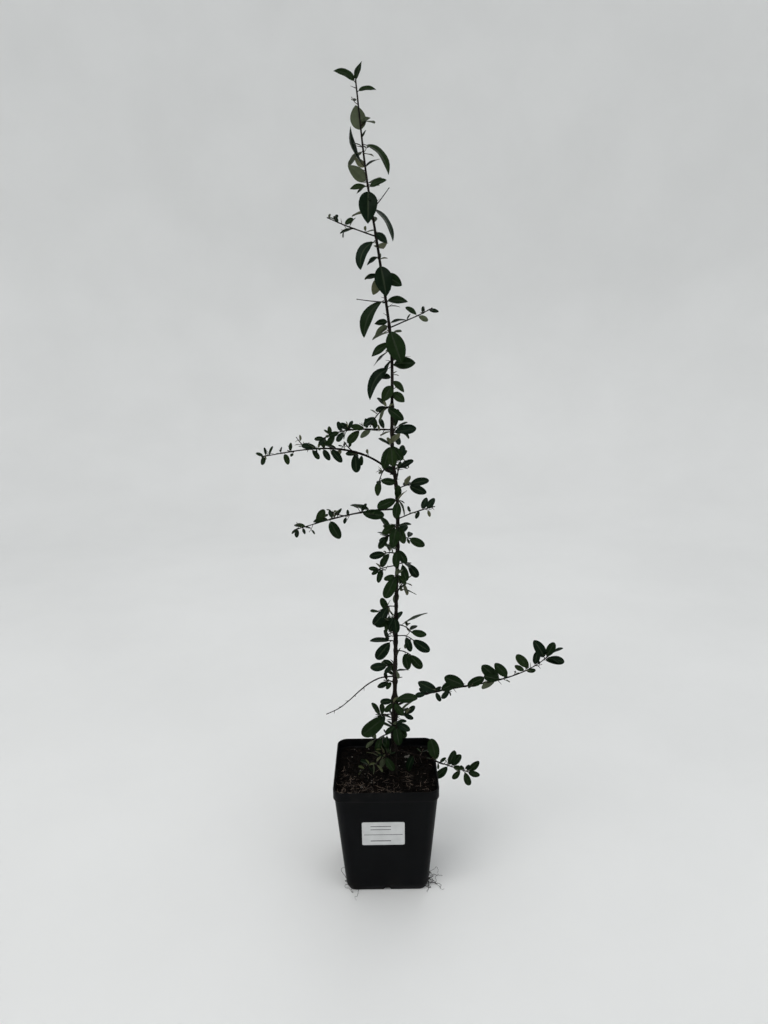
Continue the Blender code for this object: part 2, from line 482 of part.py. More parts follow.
def leaf_solid(leaf, grow=0.0, start=0.0):
    """Closed blade of a leaf, its root a small upright edge sunk in the twig."""
    across = leaf.normal.cross(leaf.direction)
    base = leaf.root + leaf.direction * leaf.length * start
    foot = base + bow_at(leaf, start)
    length = leaf.length * (1 - start) + grow
    half = leaf.width / 2 + grow
    thick = LEAF_THICKNESS / 2 + grow
    root_half = leaf.normal * (LEAF_ROOT_HEIGHT / 2 + grow)
    crown = leaf.normal * leaf.length * LEAF_CROWN
    middle = base + leaf.direction * length * 0.5 + bow_at(leaf, (1 + start) / 2) + crown
    near, far = [], []
    for share, width in LEAF_SHOULDERS if leaf.length > SMALL_LEAF else SMALL_LEAF_SHOULDERS:
        spot = base + leaf.direction * length * share + bow_at(leaf, start + (1 - start) * share)
        near.append(spot + across * half * width)
        far.append(spot - across * half * width)
    edge = [*near, base + leaf.direction * length - crown, *reversed(far)]
    verts = [foot + root_half, foot - root_half, middle + leaf.normal * thick, middle - leaf.normal * thick]
    first, last = len(verts), len(verts) + len(edge) - 1
    faces = [(0, first, 1), (1, last, 0), (2, first, 0), (3, 1, first), (2, 0, last), (3, last, 1)]
    for low in range(first, last):
        faces += [(2, low + 1, low), (3, low, low + 1)]
    return Solid(verts + edge, faces)


def boolean(name, solids, operation, material):
    """One closed body: the first solid joined with, or cut by, a collection of the others."""
    base = solid_object(name, solids[0], material)
    group = bpy.data.collections.new(name + "_others")
    for index, solid in enumerate(solids[1:]):
        item = solid_object(f"{name}_other_{index}", solid)
        bpy.context.scene.collection.objects.unlink(item)
        group.objects.link(item)
    modifier = base.modifiers.new("boolean", "BOOLEAN")
    modifier.operation = operation
    modifier.operand_type = "COLLECTION"
    modifier.collection = group
    for solver, merge in ATTEMPTS:
        modifier.solver = solver
        bpy.context.view_layer.update()
        evaluated = base.evaluated_get(bpy.context.evaluated_depsgraph_get())
        result = bpy.data.meshes.new_from_object(evaluated)
        if tidy_body(result, merge):
            break
    base.modifiers.clear()
    base.data = result
    for item in list(group.objects):
        bpy.data.objects.remove(item, do_unlink=True)
    bpy.data.collections.remove(group)
    base.data.materials.clear()
    base.data.materials.append(material)
    return base


def is_sound(edit):
    """Whether every edge joins two faces, with the vertices rounded to the grain."""
    places = {vert: tuple(round(part / GRAIN) for part in vert.co) for vert in edit.verts}
    counts = Counter()
    for face in edit.faces:
        corners = [places[vert] for vert in face.verts]
        if len(set(corners)) == len(corners):
            counts.update(frozenset(pair) for pair in zip(corners, corners[1:] + corners[:1]))
    return all(count == 2 for count in counts.values())


def tidy_body(mesh, merge):
    """Drop every loose scrap of a mesh but its largest body, and say whether that is sound."""
    edit = bmesh.new()
    edit.from_mesh(mesh)
    bmesh.ops.remove_doubles(edit, verts=edit.verts, dist=merge)
    bmesh.ops.dissolve_degenerate(edit, edges=edit.edges, dist=merge)
    unseen = set(edit.faces)
    groups = []
    while unseen:
        queue = [unseen.pop()]
        group = []
        while queue:
            face = queue.pop()
            group.append(face)
            near = {other for edge in face.edges for other in edge.link_faces} & unseen
            unseen -= near
            queue += near
        groups.append(group)
    groups.sort(key=len)
    scraps = [face for group in groups[:-1] for face in group]
    bmesh.ops.delete(edit, geom=scraps, context="FACES")
    bmesh.ops.triangulate(edit, faces=edit.faces)
    bmesh.ops.recalc_face_normals(edit, faces=edit.faces)
    sound = is_sound(edit)
    edit.to_mesh(mesh)
    edit.free()
    return sound


# Room for leaves


def grown_tree(solid):
    """Search tree of a solid's faces."""
    return BVHTree.FromPolygons(solid.verts, solid.faces, epsilon=0.0)


def place_solid(room, node, solid, blade=None):
    """Note a solid as taken space, with the part of it that its own node keeps clear of."""
    centre = sum(solid.verts, Vector()) / len(solid.verts)
    reach = max((vert - centre).length for vert in solid.verts)
    whole = grown_tree(solid)
    room.append(Placed(node, centre, reach, whole, grown_tree(blade) if blade else whole))


def is_free(room, node, leaf):
    """Whether a leaf clears the other nodes by the clearance, and its own node's blades."""
    body = leaf_solid(leaf, CLEARANCE)
    blade = leaf_solid(leaf, 0.0, BLADE_START)
    centre = leaf.root + leaf.direction * leaf.length / 2
    reach = leaf.length / 2 + leaf.width / 2
    body_tree, blade_tree = grown_tree(body), grown_tree(blade)
    for other in room:
        if (other.centre - centre).length > other.reach + reach:
            continue
        if other.node == node and other.blade.overlap(blade_tree):
            return False
        if other.node != node and other.whole.overlap(body_tree):
            return False
    return True


# Growth


def make_leaf(point, direction, facing, length, bow=Vector()):
    """A leaf on a twig's axis, its upper side turned as near to facing as it can be."""
    direction = direction.normalized()
    normal = facing - direction * facing.dot(direction)
    return Leaf(point, direction, normal.normalized(), length * CM, length * CM * LEAF_WIDTH, bow)


def shown_leaf(shown, point, jitter=0.0):
    """A leaf given by how it shows in the front view."""
    flat = math.sqrt(1 - shown.lean ** 2)
    angle = math.radians(shown.angle + jitter)
    direction = Vector((flat * math.cos(angle), -shown.lean, flat * math.sin(angle)))
    up_part = (UP - direction * UP.dot(direction)).normalized() if abs(direction.z) < UPRIGHT else FRONT
    front_part = (FRONT - direction * FRONT.dot(direction)).normalized()
    turn = abs(shown.face)
    facing = up_part * (1 - turn) + front_part * math.copysign(turn, shown.face)
    bow = Vector((-math.sin(angle), 0.0, math.cos(angle))) * shown.bow
    return make_leaf(point, direction, facing, shown.length, bow)


def seeded_leaf(rng, point, run, turn, length, hang):
    """A leaf that leaves its twig at a seeded angle, round the twig by a turn."""
    across = BACK - run * BACK.dot(run) if hang else run.orthogonal()
    side = Matrix.Rotation(turn, 3, run) @ across.normalized()
    lift = rng.uniform(*(LEAF_HANG if hang else LEAF_LIFT))
    direction = run * rng.uniform(*LEAF_FORWARD) + side + UP * lift
    tilt = Vector((rng.uniform(-LEAF_TILT, LEAF_TILT), rng.uniform(-LEAF_TILT, LEAF_TILT), 0.0))
    return make_leaf(point, direction, UP + side * LEAF_TILT / 2 + tilt, length)


def spaced_root(spot, leaves):
    """A place on a twig moved back a little, so that no two leaves share one root."""
    point, run = spot
    return point - run * ROOT_STEP * (len(leaves) % 4), run


def add_seeded(room, rng, node, leaves, spot, turn, length, hang):
    """Try a few seeded angles and keep the first leaf that has room."""
    point, run = spaced_root(spot, leaves)
    for attempt in range(TRIES):
        swing = turn + rng.uniform(-LEAF_SWING, LEAF_SWING) * (1 + attempt)
        leaf = seeded_leaf(rng, point, run, swing, length * (1 - TRY_SHRINK * attempt), hang)
        if is_free(room, node, leaf):
            leaves.append(leaf)
            place_solid(room, node, leaf_solid(leaf), leaf_solid(leaf, 0.0, BLADE_START))
            return


def add_buds(room, rng, node, leaves, path, buds, leaf_length, small, first, hang=False):
    """Buds along a path by the golden turn, each with one leaf and some smaller ones."""
    turn = rng.uniform(0, 2 * math.pi)
    for bud in range(buds):
        share = first + (1 - first) * (bud + 1) / buds
        spot = along(path, share)
        turn = (LEADER_TURN if bud % 2 else -LEADER_TURN) if hang else turn + GOLDEN_TURN
        add_seeded(room, rng, node, leaves, spot, turn, leaf_length * rng.uniform(*LEAF_SPREAD), hang)
        for k in range(small):
            swing = turn + SMALL_SWING * (1 if k % 2 else -1) * (1 + k // 2)
            near = along(path, share - BUD_STEP * (k + 1) / (path[-1] - path[0]).length)
            size = leaf_length * rng.uniform(*SMALL_SPREAD)
            add_seeded(room, rng, node, leaves, near, swing, size, hang)


def side_twigs(rng, path, count):
    """Seeded side twigs along a path, leaving it at an open angle."""
    twigs = []
    for index in range(count):
        point, run = along(path, (index + 1) / (count + 1))
        side = run.cross(UP).normalized() * (1 if index % 2 else -1)
        direction = run * SIDE_TWIG_FORWARD + side * rng.uniform(*SIDE_TWIG_SPREAD)
        direction = (direction + UP * rng.uniform(*SIDE_TWIG_LIFT)).normalized()
        length = rng.uniform(*SIDE_TWIG_LENGTH) * CM
        middle = point + direction * length / 2
        bend = (direction + UP * SIDE_TWIG_BEND).normalized()
        twigs.append([point, middle, middle + bend * length / 2])
    return twigs


def grow_plant():
    """Paths, twigs and leaves of every mass: {node: (path, twigs, leaves)}."""
    masses = {"leader": (stem_path(TRUNK_TOP, LEADER_TOP, LEADER_STEP), [], [])}
    masses["leader"][0][0] += UP * GAP
    for height, azimuth, slope, length, buds in LEADER_TWIGS:
        slopes = (slope, slope * 0.9, slope + 6)
        masses["leader"][1].append(arc_path(stem_point(height), azimuth, slopes, length, TWIG_STEP))
    rngs = {name: random.Random(SHOOT_SEED + index) for index, name in enumerate(["leader", *SHOOTS])}
    for name, shoot in SHOOTS.items():
        path = shoot_path(shoot, TWIG_RADIUS * CM)
        masses[name] = (path, side_twigs(rngs[name], path, shoot.twigs), [])
    return masses, rngs


def mass_stem(name, path):
    """Split a shoot's path into its bare bough and the stem inside its mass."""
    shoot = SHOOTS.get(name)
    if not shoot or not shoot.bough:
        return [], path
    cut = max(1, round(shoot.bough / shoot.length * (len(path) - 1)))
    foot = path[cut] + (path[cut + 1] - path[cut]).normalized() * GAP
    return path[:cut + 1], [foot, *path[cut + 1:]]


def stem_radii(name, points):
    """Radii of the stem inside a mass: the leader follows the main stem's own taper."""
    if name == "leader":
        return [read_table(STEM_RADIUS, point.z / CM) * CM for point in points]
    return taper(len(points), TWIG_RADIUS + STEM_GROWTH * SHOOTS[name].length, TWIG_TIP_RADIUS)


def fill_masses(masses, rngs, room):
    """Grow the leaves: those that show first, then the seeded ones."""
    for name, (path, twigs, leaves) in masses.items():
        for shown in SHOWN_LEAVES.get(name, ()):
            spot = (stem_point(shown.place), UP) if name == "leader" else along(path, shown.place)
            root = spaced_root(spot, leaves)[0]
            for jitter in JITTERS:
                leaf = shown_leaf(shown, root, jitter)
                if is_free(room, name, leaf):
                    leaves.append(leaf)
                    place_solid(room, name, leaf_solid(leaf), leaf_solid(leaf, 0.0, BLADE_START))
                    break
    for name, (path, twigs, leaves) in masses.items():
        rng = rngs[name]
        if name == "leader":
            foot, top = LEADER_BUD_FOOT, LEADER_BUD_TOP
            part = stem_path(foot, top, LEADER_STEP)
            add_buds(room, rng, name, leaves, part, LEADER_BUDS, LEADER_LEAF, 1, 0.0, True)
            for twig, spec in zip(twigs, LEADER_TWIGS):
                add_buds(room, rng, name, leaves, twig, spec[4], LEADER_TWIG_LEAF, 1, FIRST_BUD)
            continue
        shoot = SHOOTS[name]
        first = shoot.bough / shoot.length + SHOOT_BARE
        add_buds(room, rng, name, leaves, path, shoot.buds, shoot.leaf, shoot.small, first)
        for twig in twigs:
            size = shoot.leaf * SIDE_TWIG_LEAF
            add_buds(room, rng, name, leaves, twig, SIDE_TWIG_BUDS, size, 0, FIRST_BUD)


# Pot and soil


def square_ring(half, corner, height):
    """Points of a rounded square, anticlockwise."""
    points = []
    for quarter in range(4):
        centre_x = (half - corner) * (1 if quarter in (0, 3) else -1)
        centre_y = (half - corner) * (1 if quarter in (0, 1) else -1)
        for k in range(CORNER_STEPS + 1):
            angle = math.pi / 2 * (quarter + k / CORNER_STEPS)
            points.append(
                Vector((centre_x + corner * math.cos(angle), centre_y + corner * math.sin(angle), height))
            )
    return points


def loft(rings):
    """Closed solid through rings of equal counts, with flat ends."""
    count = len(rings[0])
    verts = [point for ring in rings for point in ring]
    faces = [tuple(reversed(range(count)))]
    for i in range(len(rings) - 1):
        for k in range(count):
            a, b = i * count + k, i * count + (k + 1) % count
            faces.append((a, b, b + count, a + count))
    faces.append(tuple(range(len(verts) - count, len(verts))))
    return Solid(verts, faces)


def pot_half(height):
    """Half width of the pot's body outside, below its collar."""
    share = height / (POT_HEIGHT - COLLAR_HEIGHT)
    half = (FOOT_WIDTH + (RIM_WIDTH - 2 * COLLAR_STEP - FOOT_WIDTH) * share) / 2
    if height < FOOT_ROUND:
        half -= FOOT_INSET * (1 - height / FOOT_ROUND) ** 2
    return half


def pot_solid():
    """Walls, collar and floor as one lofted shell, open at the top."""
    collar = POT_HEIGHT - COLLAR_HEIGHT
    outer = [(z, pot_half(z)) for z in (0.0, FOOT_ROUND * 0.3, FOOT_ROUND * 0.65, FOOT_ROUND, collar)]
    outer += [(collar + COLLAR_STEP * 0.5, RIM_WIDTH / 2), (POT_HEIGHT - RIM_ROUND, RIM_WIDTH / 2)]
    outer += [(POT_HEIGHT, RIM_WIDTH / 2 - RIM_ROUND)]
    inner = [(POT_HEIGHT, RIM_WIDTH / 2 - WALL), (collar + COLLAR_STEP * 1.3, RIM_WIDTH / 2 - WALL)]
    inner += [(collar + COLLAR_STEP * 0.2, pot_half(collar) - WALL)]
    inner += [(z, pot_half(z) - WALL) for z in (FOOT_ROUND, FOOT_ROUND * 0.65, FLOOR)]
    rings = [square_ring(half, CORNER_RADIUS * half * 2 / RIM_WIDTH, z) for z, half in outer + inner]
    return loft(rings)


def cylinder(centre, radius, length, axis):
    """Closed cylinder about an axis."""
    half = axis * length / 2
    return tube([centre - half, centre + half], [radius, radius], CUTTER_SIDES)


def make_pot(material):
    """Pot with an arched notch in each side's foot and four drain holes."""
    cutters = []
    for quarter in range(4):
        outward = heading(90 * quarter, 0)
        side = Vector((-outward.y, outward.x, 0.0))
        notch_centre = outward * (FOOT_WIDTH / 2 - NOTCH_DEPTH / 4) + UP * NOTCH_LIFT
        cutters.append(cylinder(notch_centre, NOTCH_RADIUS, NOTCH_DEPTH, outward))
        drain_centre = (outward + side) * DRAIN_SPACING / 2
        cutters.append(cylinder(drain_centre, DRAIN_RADIUS, FLOOR * 4, UP))
    return boolean("pot", [pot_solid(), *cutters], "DIFFERENCE", material)


def make_soil(material):
    """Block of soil that fills the pot, gently uneven on top and level round the stem."""
    rng = random.Random(SOIL_SEED)
    rings = []
    for z in (FLOOR + GAP, FOOT_ROUND * 0.65, FOOT_ROUND, SOIL_TOP - SOIL_EDGE * 4, SOIL_TOP - SOIL_EDGE):
        half = pot_half(min(z, POT_HEIGHT - COLLAR_HEIGHT)) - WALL - GAP * 1.5
        rings.append(square_ring(half, CORNER_RADIUS * half * 2 / RIM_WIDTH, z))
    edge = rings[-1][0].x
    foot = stem_point(SOIL_TOP / CM)
    for share in SOIL_RINGS:
        ring = square_ring(edge * share, CORNER_RADIUS * share, SOIL_TOP)
        for point in ring:
            if (point - foot).length > SOIL_FLAT_RADIUS * 1.3:
                point.z += rng.uniform(-SOIL_RELIEF, SOIL_RELIEF)
        rings.append(ring)
    flat = []
    for k in range(len(rings[0])):
        angle = 2 * math.pi * (k + 0.5) / len(rings[0])
        flat.append(Vector((foot.x, foot.y, SOIL_TOP)) + heading(math.degrees(angle), 0) * SOIL_FLAT_RADIUS)
    rings.append(flat)
    return solid_object("soil", loft(rings), material)


def build():
    """Make every piece of the plant and its pot."""
    clear_scene()
    plastic = plain_material("pot_plastic", (0.012, 0.013, 0.014), 0.45)
    earth = plain_material("soil", (0.035, 0.024, 0.016), 0.95)
    bark = plain_material("bark", (0.045, 0.032, 0.025), 0.8)
    green = plain_material("foliage", (0.020, 0.045, 0.016), 0.4)
    pot = make_pot(plastic)
    soil = make_soil(earth)
    room = []
    for item in (pot, soil):
        faces = [tuple(face.vertices) for face in item.data.polygons]
        place_solid(room, item.name, Solid([vert.co.copy() for vert in item.data.vertices], faces))
    trunk_path = stem_path(SOIL_TOP / CM, TRUNK_TOP, TRUNK_STEP)
    trunk_path[0] += UP * GAP
    trunk_path += [stem_point(height) for height in (FLARE_TOP, *KNUCKLE)]
    trunk_path.sort(key=lambda point: point.z)
    radii = [read_table(STEM_RADIUS, point.z / CM) * CM for point in trunk_path]
    trunk = tube(trunk_path, radii, TRUNK_SIDES, level_foot=True)
    solid_object("trunk", trunk, bark)
    place_solid(room, "trunk", trunk)
    bare_path = shoot_path(BARE_TWIG, TWIG_RADIUS * CM)
    bare = tube(bare_path, taper(len(bare_path), BARE_TWIG_RADIUS, TWIG_TIP_RADIUS), BOUGH_SIDES)
    solid_object("bare_twig", bare, bark)
    place_solid(room, "bare_twig", bare)
    masses, rngs = grow_plant()
    stems = {}
    for name, (path, twigs, leaves) in masses.items():
        bough, stem = mass_stem(name, path)
        if bough:
            tip = TWIG_RADIUS + STEM_GROWTH * SHOOTS[name].length
            limb = tube(bough, taper(len(bough), tip + BOUGH_EXTRA, tip), BOUGH_SIDES)
            solid_object(f"bough_{name}", limb, bark)
            place_solid(room, f"bough_{name}", limb)
        stems[name] = [tube(stem, stem_radii(name, stem), TWIG_SIDES if name != "leader" else BOUGH_SIDES)]
        for twig in twigs:
            stems[name].append(tube(twig, taper(len(twig), TWIG_RADIUS, TWIG_TIP_RADIUS), TWIG_SIDES))
        for solid in stems[name]:
            place_solid(room, name, solid)
    fill_masses(masses, rngs, room)
    for name, (path, twigs, leaves) in masses.items():
        boolean(name, [*stems[name], *(leaf_solid(leaf) for leaf in leaves)], "UNION", green)
    return masses


MASSES = build()
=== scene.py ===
"""Looks of the potted firethorn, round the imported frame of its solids.

Metres, +Z up, in the frame's own space.  The plant grows again here by the rule of the
solids: sizes of the plant are in centimetres, as read off a tape, and CM turns them into
metres.  The leaves stand where the solids' leaves stand, and finer spurs, thorns and small
leaves are added between them.
"""

import math
import random
from collections import namedtuple

import bmesh
import bpy
from mathutils import Matrix, Vector, noise
from mathutils.bvhtree import BVHTree


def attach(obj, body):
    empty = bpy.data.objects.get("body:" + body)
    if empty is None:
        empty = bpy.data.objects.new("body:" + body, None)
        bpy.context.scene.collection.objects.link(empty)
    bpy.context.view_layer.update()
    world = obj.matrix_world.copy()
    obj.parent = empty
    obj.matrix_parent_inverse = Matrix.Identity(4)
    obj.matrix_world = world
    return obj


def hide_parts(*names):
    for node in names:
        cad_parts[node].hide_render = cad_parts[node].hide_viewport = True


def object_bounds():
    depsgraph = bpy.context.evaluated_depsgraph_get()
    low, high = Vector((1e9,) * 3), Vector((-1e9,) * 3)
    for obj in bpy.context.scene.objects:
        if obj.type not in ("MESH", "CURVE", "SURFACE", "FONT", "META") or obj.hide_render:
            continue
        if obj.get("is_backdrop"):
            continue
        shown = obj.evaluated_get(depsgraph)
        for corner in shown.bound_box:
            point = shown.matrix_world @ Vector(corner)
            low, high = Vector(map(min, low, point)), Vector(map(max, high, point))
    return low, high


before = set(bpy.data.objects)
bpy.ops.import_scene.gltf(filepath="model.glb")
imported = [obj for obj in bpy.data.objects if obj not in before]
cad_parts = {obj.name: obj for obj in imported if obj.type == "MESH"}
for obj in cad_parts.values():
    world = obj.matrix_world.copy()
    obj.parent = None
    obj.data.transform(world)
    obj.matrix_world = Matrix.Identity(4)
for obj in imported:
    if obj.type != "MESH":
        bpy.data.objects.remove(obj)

cad_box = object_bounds()

CM = 0.01
UP = Vector((0.0, 0.0, 1.0))
FRONT = Vector((0.0, -1.0, 0.0))
BACK = Vector((0.0, 1.0, 0.0))
GAP = 0.0003  # between two solids of the frame that touch
UPRIGHT = 0.999  # a direction steeper than this counts as upright

# Pot, as in the solids, with rounder corners
POT_HEIGHT = 0.136
RIM_WIDTH = 0.120
FOOT_WIDTH = 0.095
WALL = 0.0014
FLOOR = 0.0018
COLLAR_HEIGHT = 0.012
COLLAR_STEP = 0.0014
COLLAR_CURVE = ((0.12, 0.5), (0.3, 0.86), (0.55, 1.0))  # up and out, as shares of the step
COLLAR_RINGS = (0.35, 0.6, 0.8)  # shares of the collar's height
COLLAR_INSIDE = (1.3, 0.2)  # ends of its slope inside, as shares of the step
CORNER_RADIUS = 0.012
FOOT_INSET = 0.002
FOOT_ROUND = 0.009
FOOT_EDGE = 0.0004
FOOT_BEVEL = 0.0006
NOTCH_RADIUS = 0.004
NOTCH_DEPTH = 0.008
NOTCH_LIFT = 0.0008
DRAIN_RADIUS = 0.004
DRAIN_SPACING = 0.054
CORNER_STEPS = 12
SIDE_STEPS = 14
CUTTER_SIDES = 28
INSIDE_RINGS = (0.09, 0.05, FOOT_ROUND, FOOT_ROUND * 0.65, FLOOR)

# Sticker on the pot's front, bare but for ruled lines
STICKER_SIZE = (0.0485, 0.0312)
STICKER_CENTRE = (-0.0038, 0.0813)
STICKER_CORNER = 0.0016
STICKER_THICKNESS = 0.00012
STICKER_LIFT = 0.00006
STICKER_CURL = 0.0009
CURL_START = 1.45  # of 2, from the middle to the corner that lifts
STICKER_PROBE = 0.01  # either way along the wall, to read its slope
PRINT_LIFTS = (-0.00004, 0.00002)
STICKER_CELLS = (26, 18)
# Ruled lines: foot and ends as shares of the sticker's height and width, and thickness
STICKER_LINES = ((0.80, 0.20, 0.68, 0.0009), (0.66, 0.20, 0.68, 0.0009), (0.44, 0.05, 0.95, 0.0007),
                 (0.16, 0.20, 0.68, 0.0012))

# Soil
SOIL_TOP = 0.126
SOIL_HALF = 0.0584
SOIL_CELLS = 118
SOIL_WAVES = ((0.0013, 70), (0.0009, 210), (0.0006, 620), (0.0003, 1500))  # height, scale
SOIL_SLICE = 0.31  # where the noise is cut
SOIL_EDGE = 0.86  # share of the half width beyond which the soil drops
SOIL_EDGE_DROP = 0.0084
SOIL_SHORE = 0.0568
SOIL_CLEAR = GAP * 1.5
SOIL_RINGS = (SOIL_TOP - 0.0045, 0.06, FOOT_ROUND, FLOOR + GAP)
CRUMBS = 1500
CRUMB_SIZE = (0.0004, 0.0016)
CRUMB_SPREAD = ((0.7, 1.7), (0.6, 1.2), (0.45, 0.85))  # length, width and height
CRUMB_BUMPS = (1.7, 0.34)  # scale, strength
CRUMB_SHIFT = 3.7  # from one crumb's bumps to the next one's
CRUMB_RISE = 0.15
LARGE_CRUMB, LARGE_EACH = 2.1, 17  # how much larger, and one in how many
PALE_EACH = 41
FIBRES = 430
FIBRE_LENGTH = (0.0025, 0.014)
FIBRE_SPREAD = (0.4, 1.0)
FIBRE_RADIUS = (0.00010, 0.00026)
FIBRE_SHAPE = (1, 1.3, 1.2, 1, 0.8, 0.4)  # shares of the radius
FIBRE_CHANCE = (0.015, 0.16, 0.84)  # anywhere, along the front, and at the front left corner
FIBRE_SLOPE = (-4, 22)
FIBRE_CURL = 0.3
FIBRE_MARGIN = 0.004
FIBRE_EDGE = 0.001
FIBRE_LIFT = 0.0003
FIBRE_REACH = 0.004  # how far a fibre may stand over the soil
STRAND_SIDES = 5
SOIL_SEED = 5

# Main stem: its line and radius in centimetres, each against the height
STEM_LINE = (
    (12.6, 0.9, 0.1), (22.0, 1.15, 0.0), (34.0, 1.45, -0.2), (45.0, 1.7, -0.1), (51.5, 1.2, 0.1),
    (60.0, 1.27, 0.2), (64.0, 1.05, 0.1), (72.0, -0.05, 0.0), (79.0, -1.1, -0.1), (87.4, -1.95, 0.0),
)
FLARE_TOP = 13.4
KNUCKLE = (20.8, 21.8, 22.8)  # foot, middle and top of the swelling where the stem was once cut
STEM_RADIUS = (
    (12.6, 0.62), (FLARE_TOP, 0.38), (KNUCKLE[0], 0.31), (KNUCKLE[1], 0.44), (KNUCKLE[2], 0.24),
    (34.0, 0.18), (46.0, 0.175), (57.0, 0.165), (70.0, 0.14), (87.4, 0.075),
)
TRUNK_TOP = 57.0
LEADER_TOP = 87.4
LEADER_STEP = 1.9

# Twigs and leaves of the solids' rule
BOUGH_SIDES = 6
TWIG_SIDES = 3
TWIG_STEP = 1.5
TWIG_RADIUS = 0.065
TWIG_TIP_RADIUS = 0.045
LEAF_WIDTH = 0.44  # share of a leaf's length
LEAF_THICKNESS = 0.0006
LEAF_SHOULDERS = ((0.36, 0.86), (0.74, 0.96))  # share of the length, share of the width
SMALL_LEAF = 0.014  # a leaf under this length has one pair of shoulders
SMALL_LEAF_SHOULDERS = ((0.58, 1.0),)
LEAF_ROOT_HEIGHT = 0.0009
LEAF_CROWN = 0.03
TIP_INSET = 0.0014  # a leaf at a twig's tip is rooted this far inside it
BLADE_START = 0.3  # the blade that keeps clear of its own mass starts at this share of a leaf
LEAF_SPREAD = (0.85, 1.08)  # seeded leaves, as a share of the shoot's leaf length
SMALL_SPREAD = (0.42, 0.62)
LEAF_FORWARD = (0.15, 0.55)  # how far a seeded leaf leans along its twig
LEAF_LIFT = (-0.15, 0.45)
LEAF_HANG = (-0.75, -0.15)  # the lift of the leader's leaves, which hang
LEAF_TILT = 0.5
LEAF_SWING = 0.5  # radians of seeded swing round the twig at the first try
SMALL_SWING = 1.3  # radians between a bud's leaf and its smaller ones
TRY_SHRINK = 0.05
SIDE_TWIG_LENGTH = (1.4, 2.2)
SIDE_TWIG_SPREAD = (0.4, 0.9)
SIDE_TWIG_LIFT = (0.2, 0.7)
SIDE_TWIG_FORWARD = 0.7
SIDE_TWIG_BEND = 0.25
SIDE_TWIG_BUDS = 3
SIDE_TWIG_LEAF = 0.6  # share of the shoot's leaf length
LEADER_TWIG_LEAF = 1.2
FIRST_BUD = 0.3  # share of a side twig that is bare
SHOOT_BARE = 0.08  # share of a shoot that is bare before its first bud
STEM_GROWTH = 0.003  # a shoot's foot is thicker by this for each centimetre of its length
BOUGH_EXTRA = 0.02
BUD_STEP = 0.0022  # between the leaves of one bud
ROOT_STEP = 0.0005  # keeps the roots of leaves of one place apart
CLEARANCE = 0.0004
GOLDEN_TURN = math.radians(137.5)
LEADER_TURN = math.radians(38)  # the leader's seeded leaves stand to each side of the back
TRIES = 7
JITTERS = (0, 8, -8, 16, -16, 26, -26)  # degrees that a leaf may turn to find room

# Finer growth, in centimetres: spurs with small leaves, and thorns
SPUR_STEP = 1.5
LEADER_SPUR_STEP = 4.0
SPUR_LENGTH = (0.35, 0.9)
SPUR_RADIUS = 0.042
SPUR_TIP_RADIUS = 0.026
SPUR_FORWARD = 0.6
SPUR_LIFT = 0.25
SPUR_LEAF = 0.82
SPUR_BUDS = 2
SPUR_BARE = 0.4
THORN_STEP = 2.3
THORN_LENGTH = (0.35, 1.1)
THORN_RADIUS = 0.045
THORN_TIP_RADIUS = 0.008
THORN_FORWARD = 0.45
THORN_SHAPE = ((0, 1.25), (0.25, 0.9), (0.6, 0.62), (0.88, 0.34), (1, 0.08))  # length, radius
THORN_BEND = 0.06
THORN_SIDES = 7
BARE_THORNS = (0.22, 0.41, 0.56, 0.68, 0.8, 0.9)  # shares of the bare twig
BARE_THORN_LENGTH = (0.25, 0.6)
BARE_THORN_SWING = (-0.9, 0.9)
BARE_THORN_FORWARD = 0.6
FINE_SEED = 907

# Looks of leaves and limbs
PETIOLE = 0.10  # share of a leaf's length
PETIOLE_RADII = (0.00042, 0.00032)
PETIOLE_SHARES = (0.0, PETIOLE * 0.5, PETIOLE, PETIOLE * 1.4)
PETIOLE_SINK = 0.4  # share of the blade's thickness
PETIOLE_TIP = 0.4
PETIOLE_SIDES = 6
FULL_LEAF = 0.02  # a shorter leaf has a thinner stalk
# Powers of the way from a blade's foot and from its tip: rounder leaves, and the leader's
BLADE_SHAPES = ((0.62, 0.54), (0.56, 0.57), (0.70, 0.51))
LEADER_SHAPES = ((0.66, 0.84), (0.62, 0.92), (0.74, 0.78))
LEADER_WIDTH = 1.12
BOWED_WIDTH = 0.84
BLADE_STATIONS = (13, 8)  # large leaves, small leaves
BLADE_COLUMNS = (-1.0, -0.56, -0.11, 0.0, 0.11, 0.56, 1.0)  # across, from edge to edge
BLADE_SPREAD = (0.94, 1.10)
BLADE_BEND = 0.03
BLADE_SAG = (0.7, 1.5)
BLADE_THICKNESS = 0.00034
BLADE_FOLD = (0.12, 0.34)
BLADE_TWIST = 0.22
BLADE_WAVE = (0.03, 0.10)
BLADE_WAVES = 9  # radians of the wave along a blade
FOLD_EASE = 0.35
RIB_RISE = 0.00022
SMOOTH_STEP = 0.0022
LIMB_SIDES = 10
TRUNK_SIDES = 26
TRUNK_RING = 0.0011
NODE_SWELL = 0.05  # centimetres added to the stem's radius where a shoot leaves it
NODE_REACH = 0.3  # centimetres that the swelling reaches
FOOT_SWELL = 0.3  # the same at a leaf's foot, as a share of the radius
FOOT_REACH = 0.0016
BUD_LENGTH = 0.0018
BUD_SHAPE = ((0.2, 1.35), (0.5, 1.5), (0.8, 0.95), (1.0, 0.2))  # shares of length, tip's radius
STEM_TIP = 0.3
FINE_TIP = 0.8  # a side twig's tip, as a share of a shoot's
STEM_SINK, LEADER_SINK = 0.15, 0.1  # centimetres that they start inside soil and trunk
TRUNK_ROUGH, STUB_ROUGH, LEADER_ROUGH, TWIG_ROUGH = 1.0, 1.2, 0.7, 0.8  # of the bark's relief
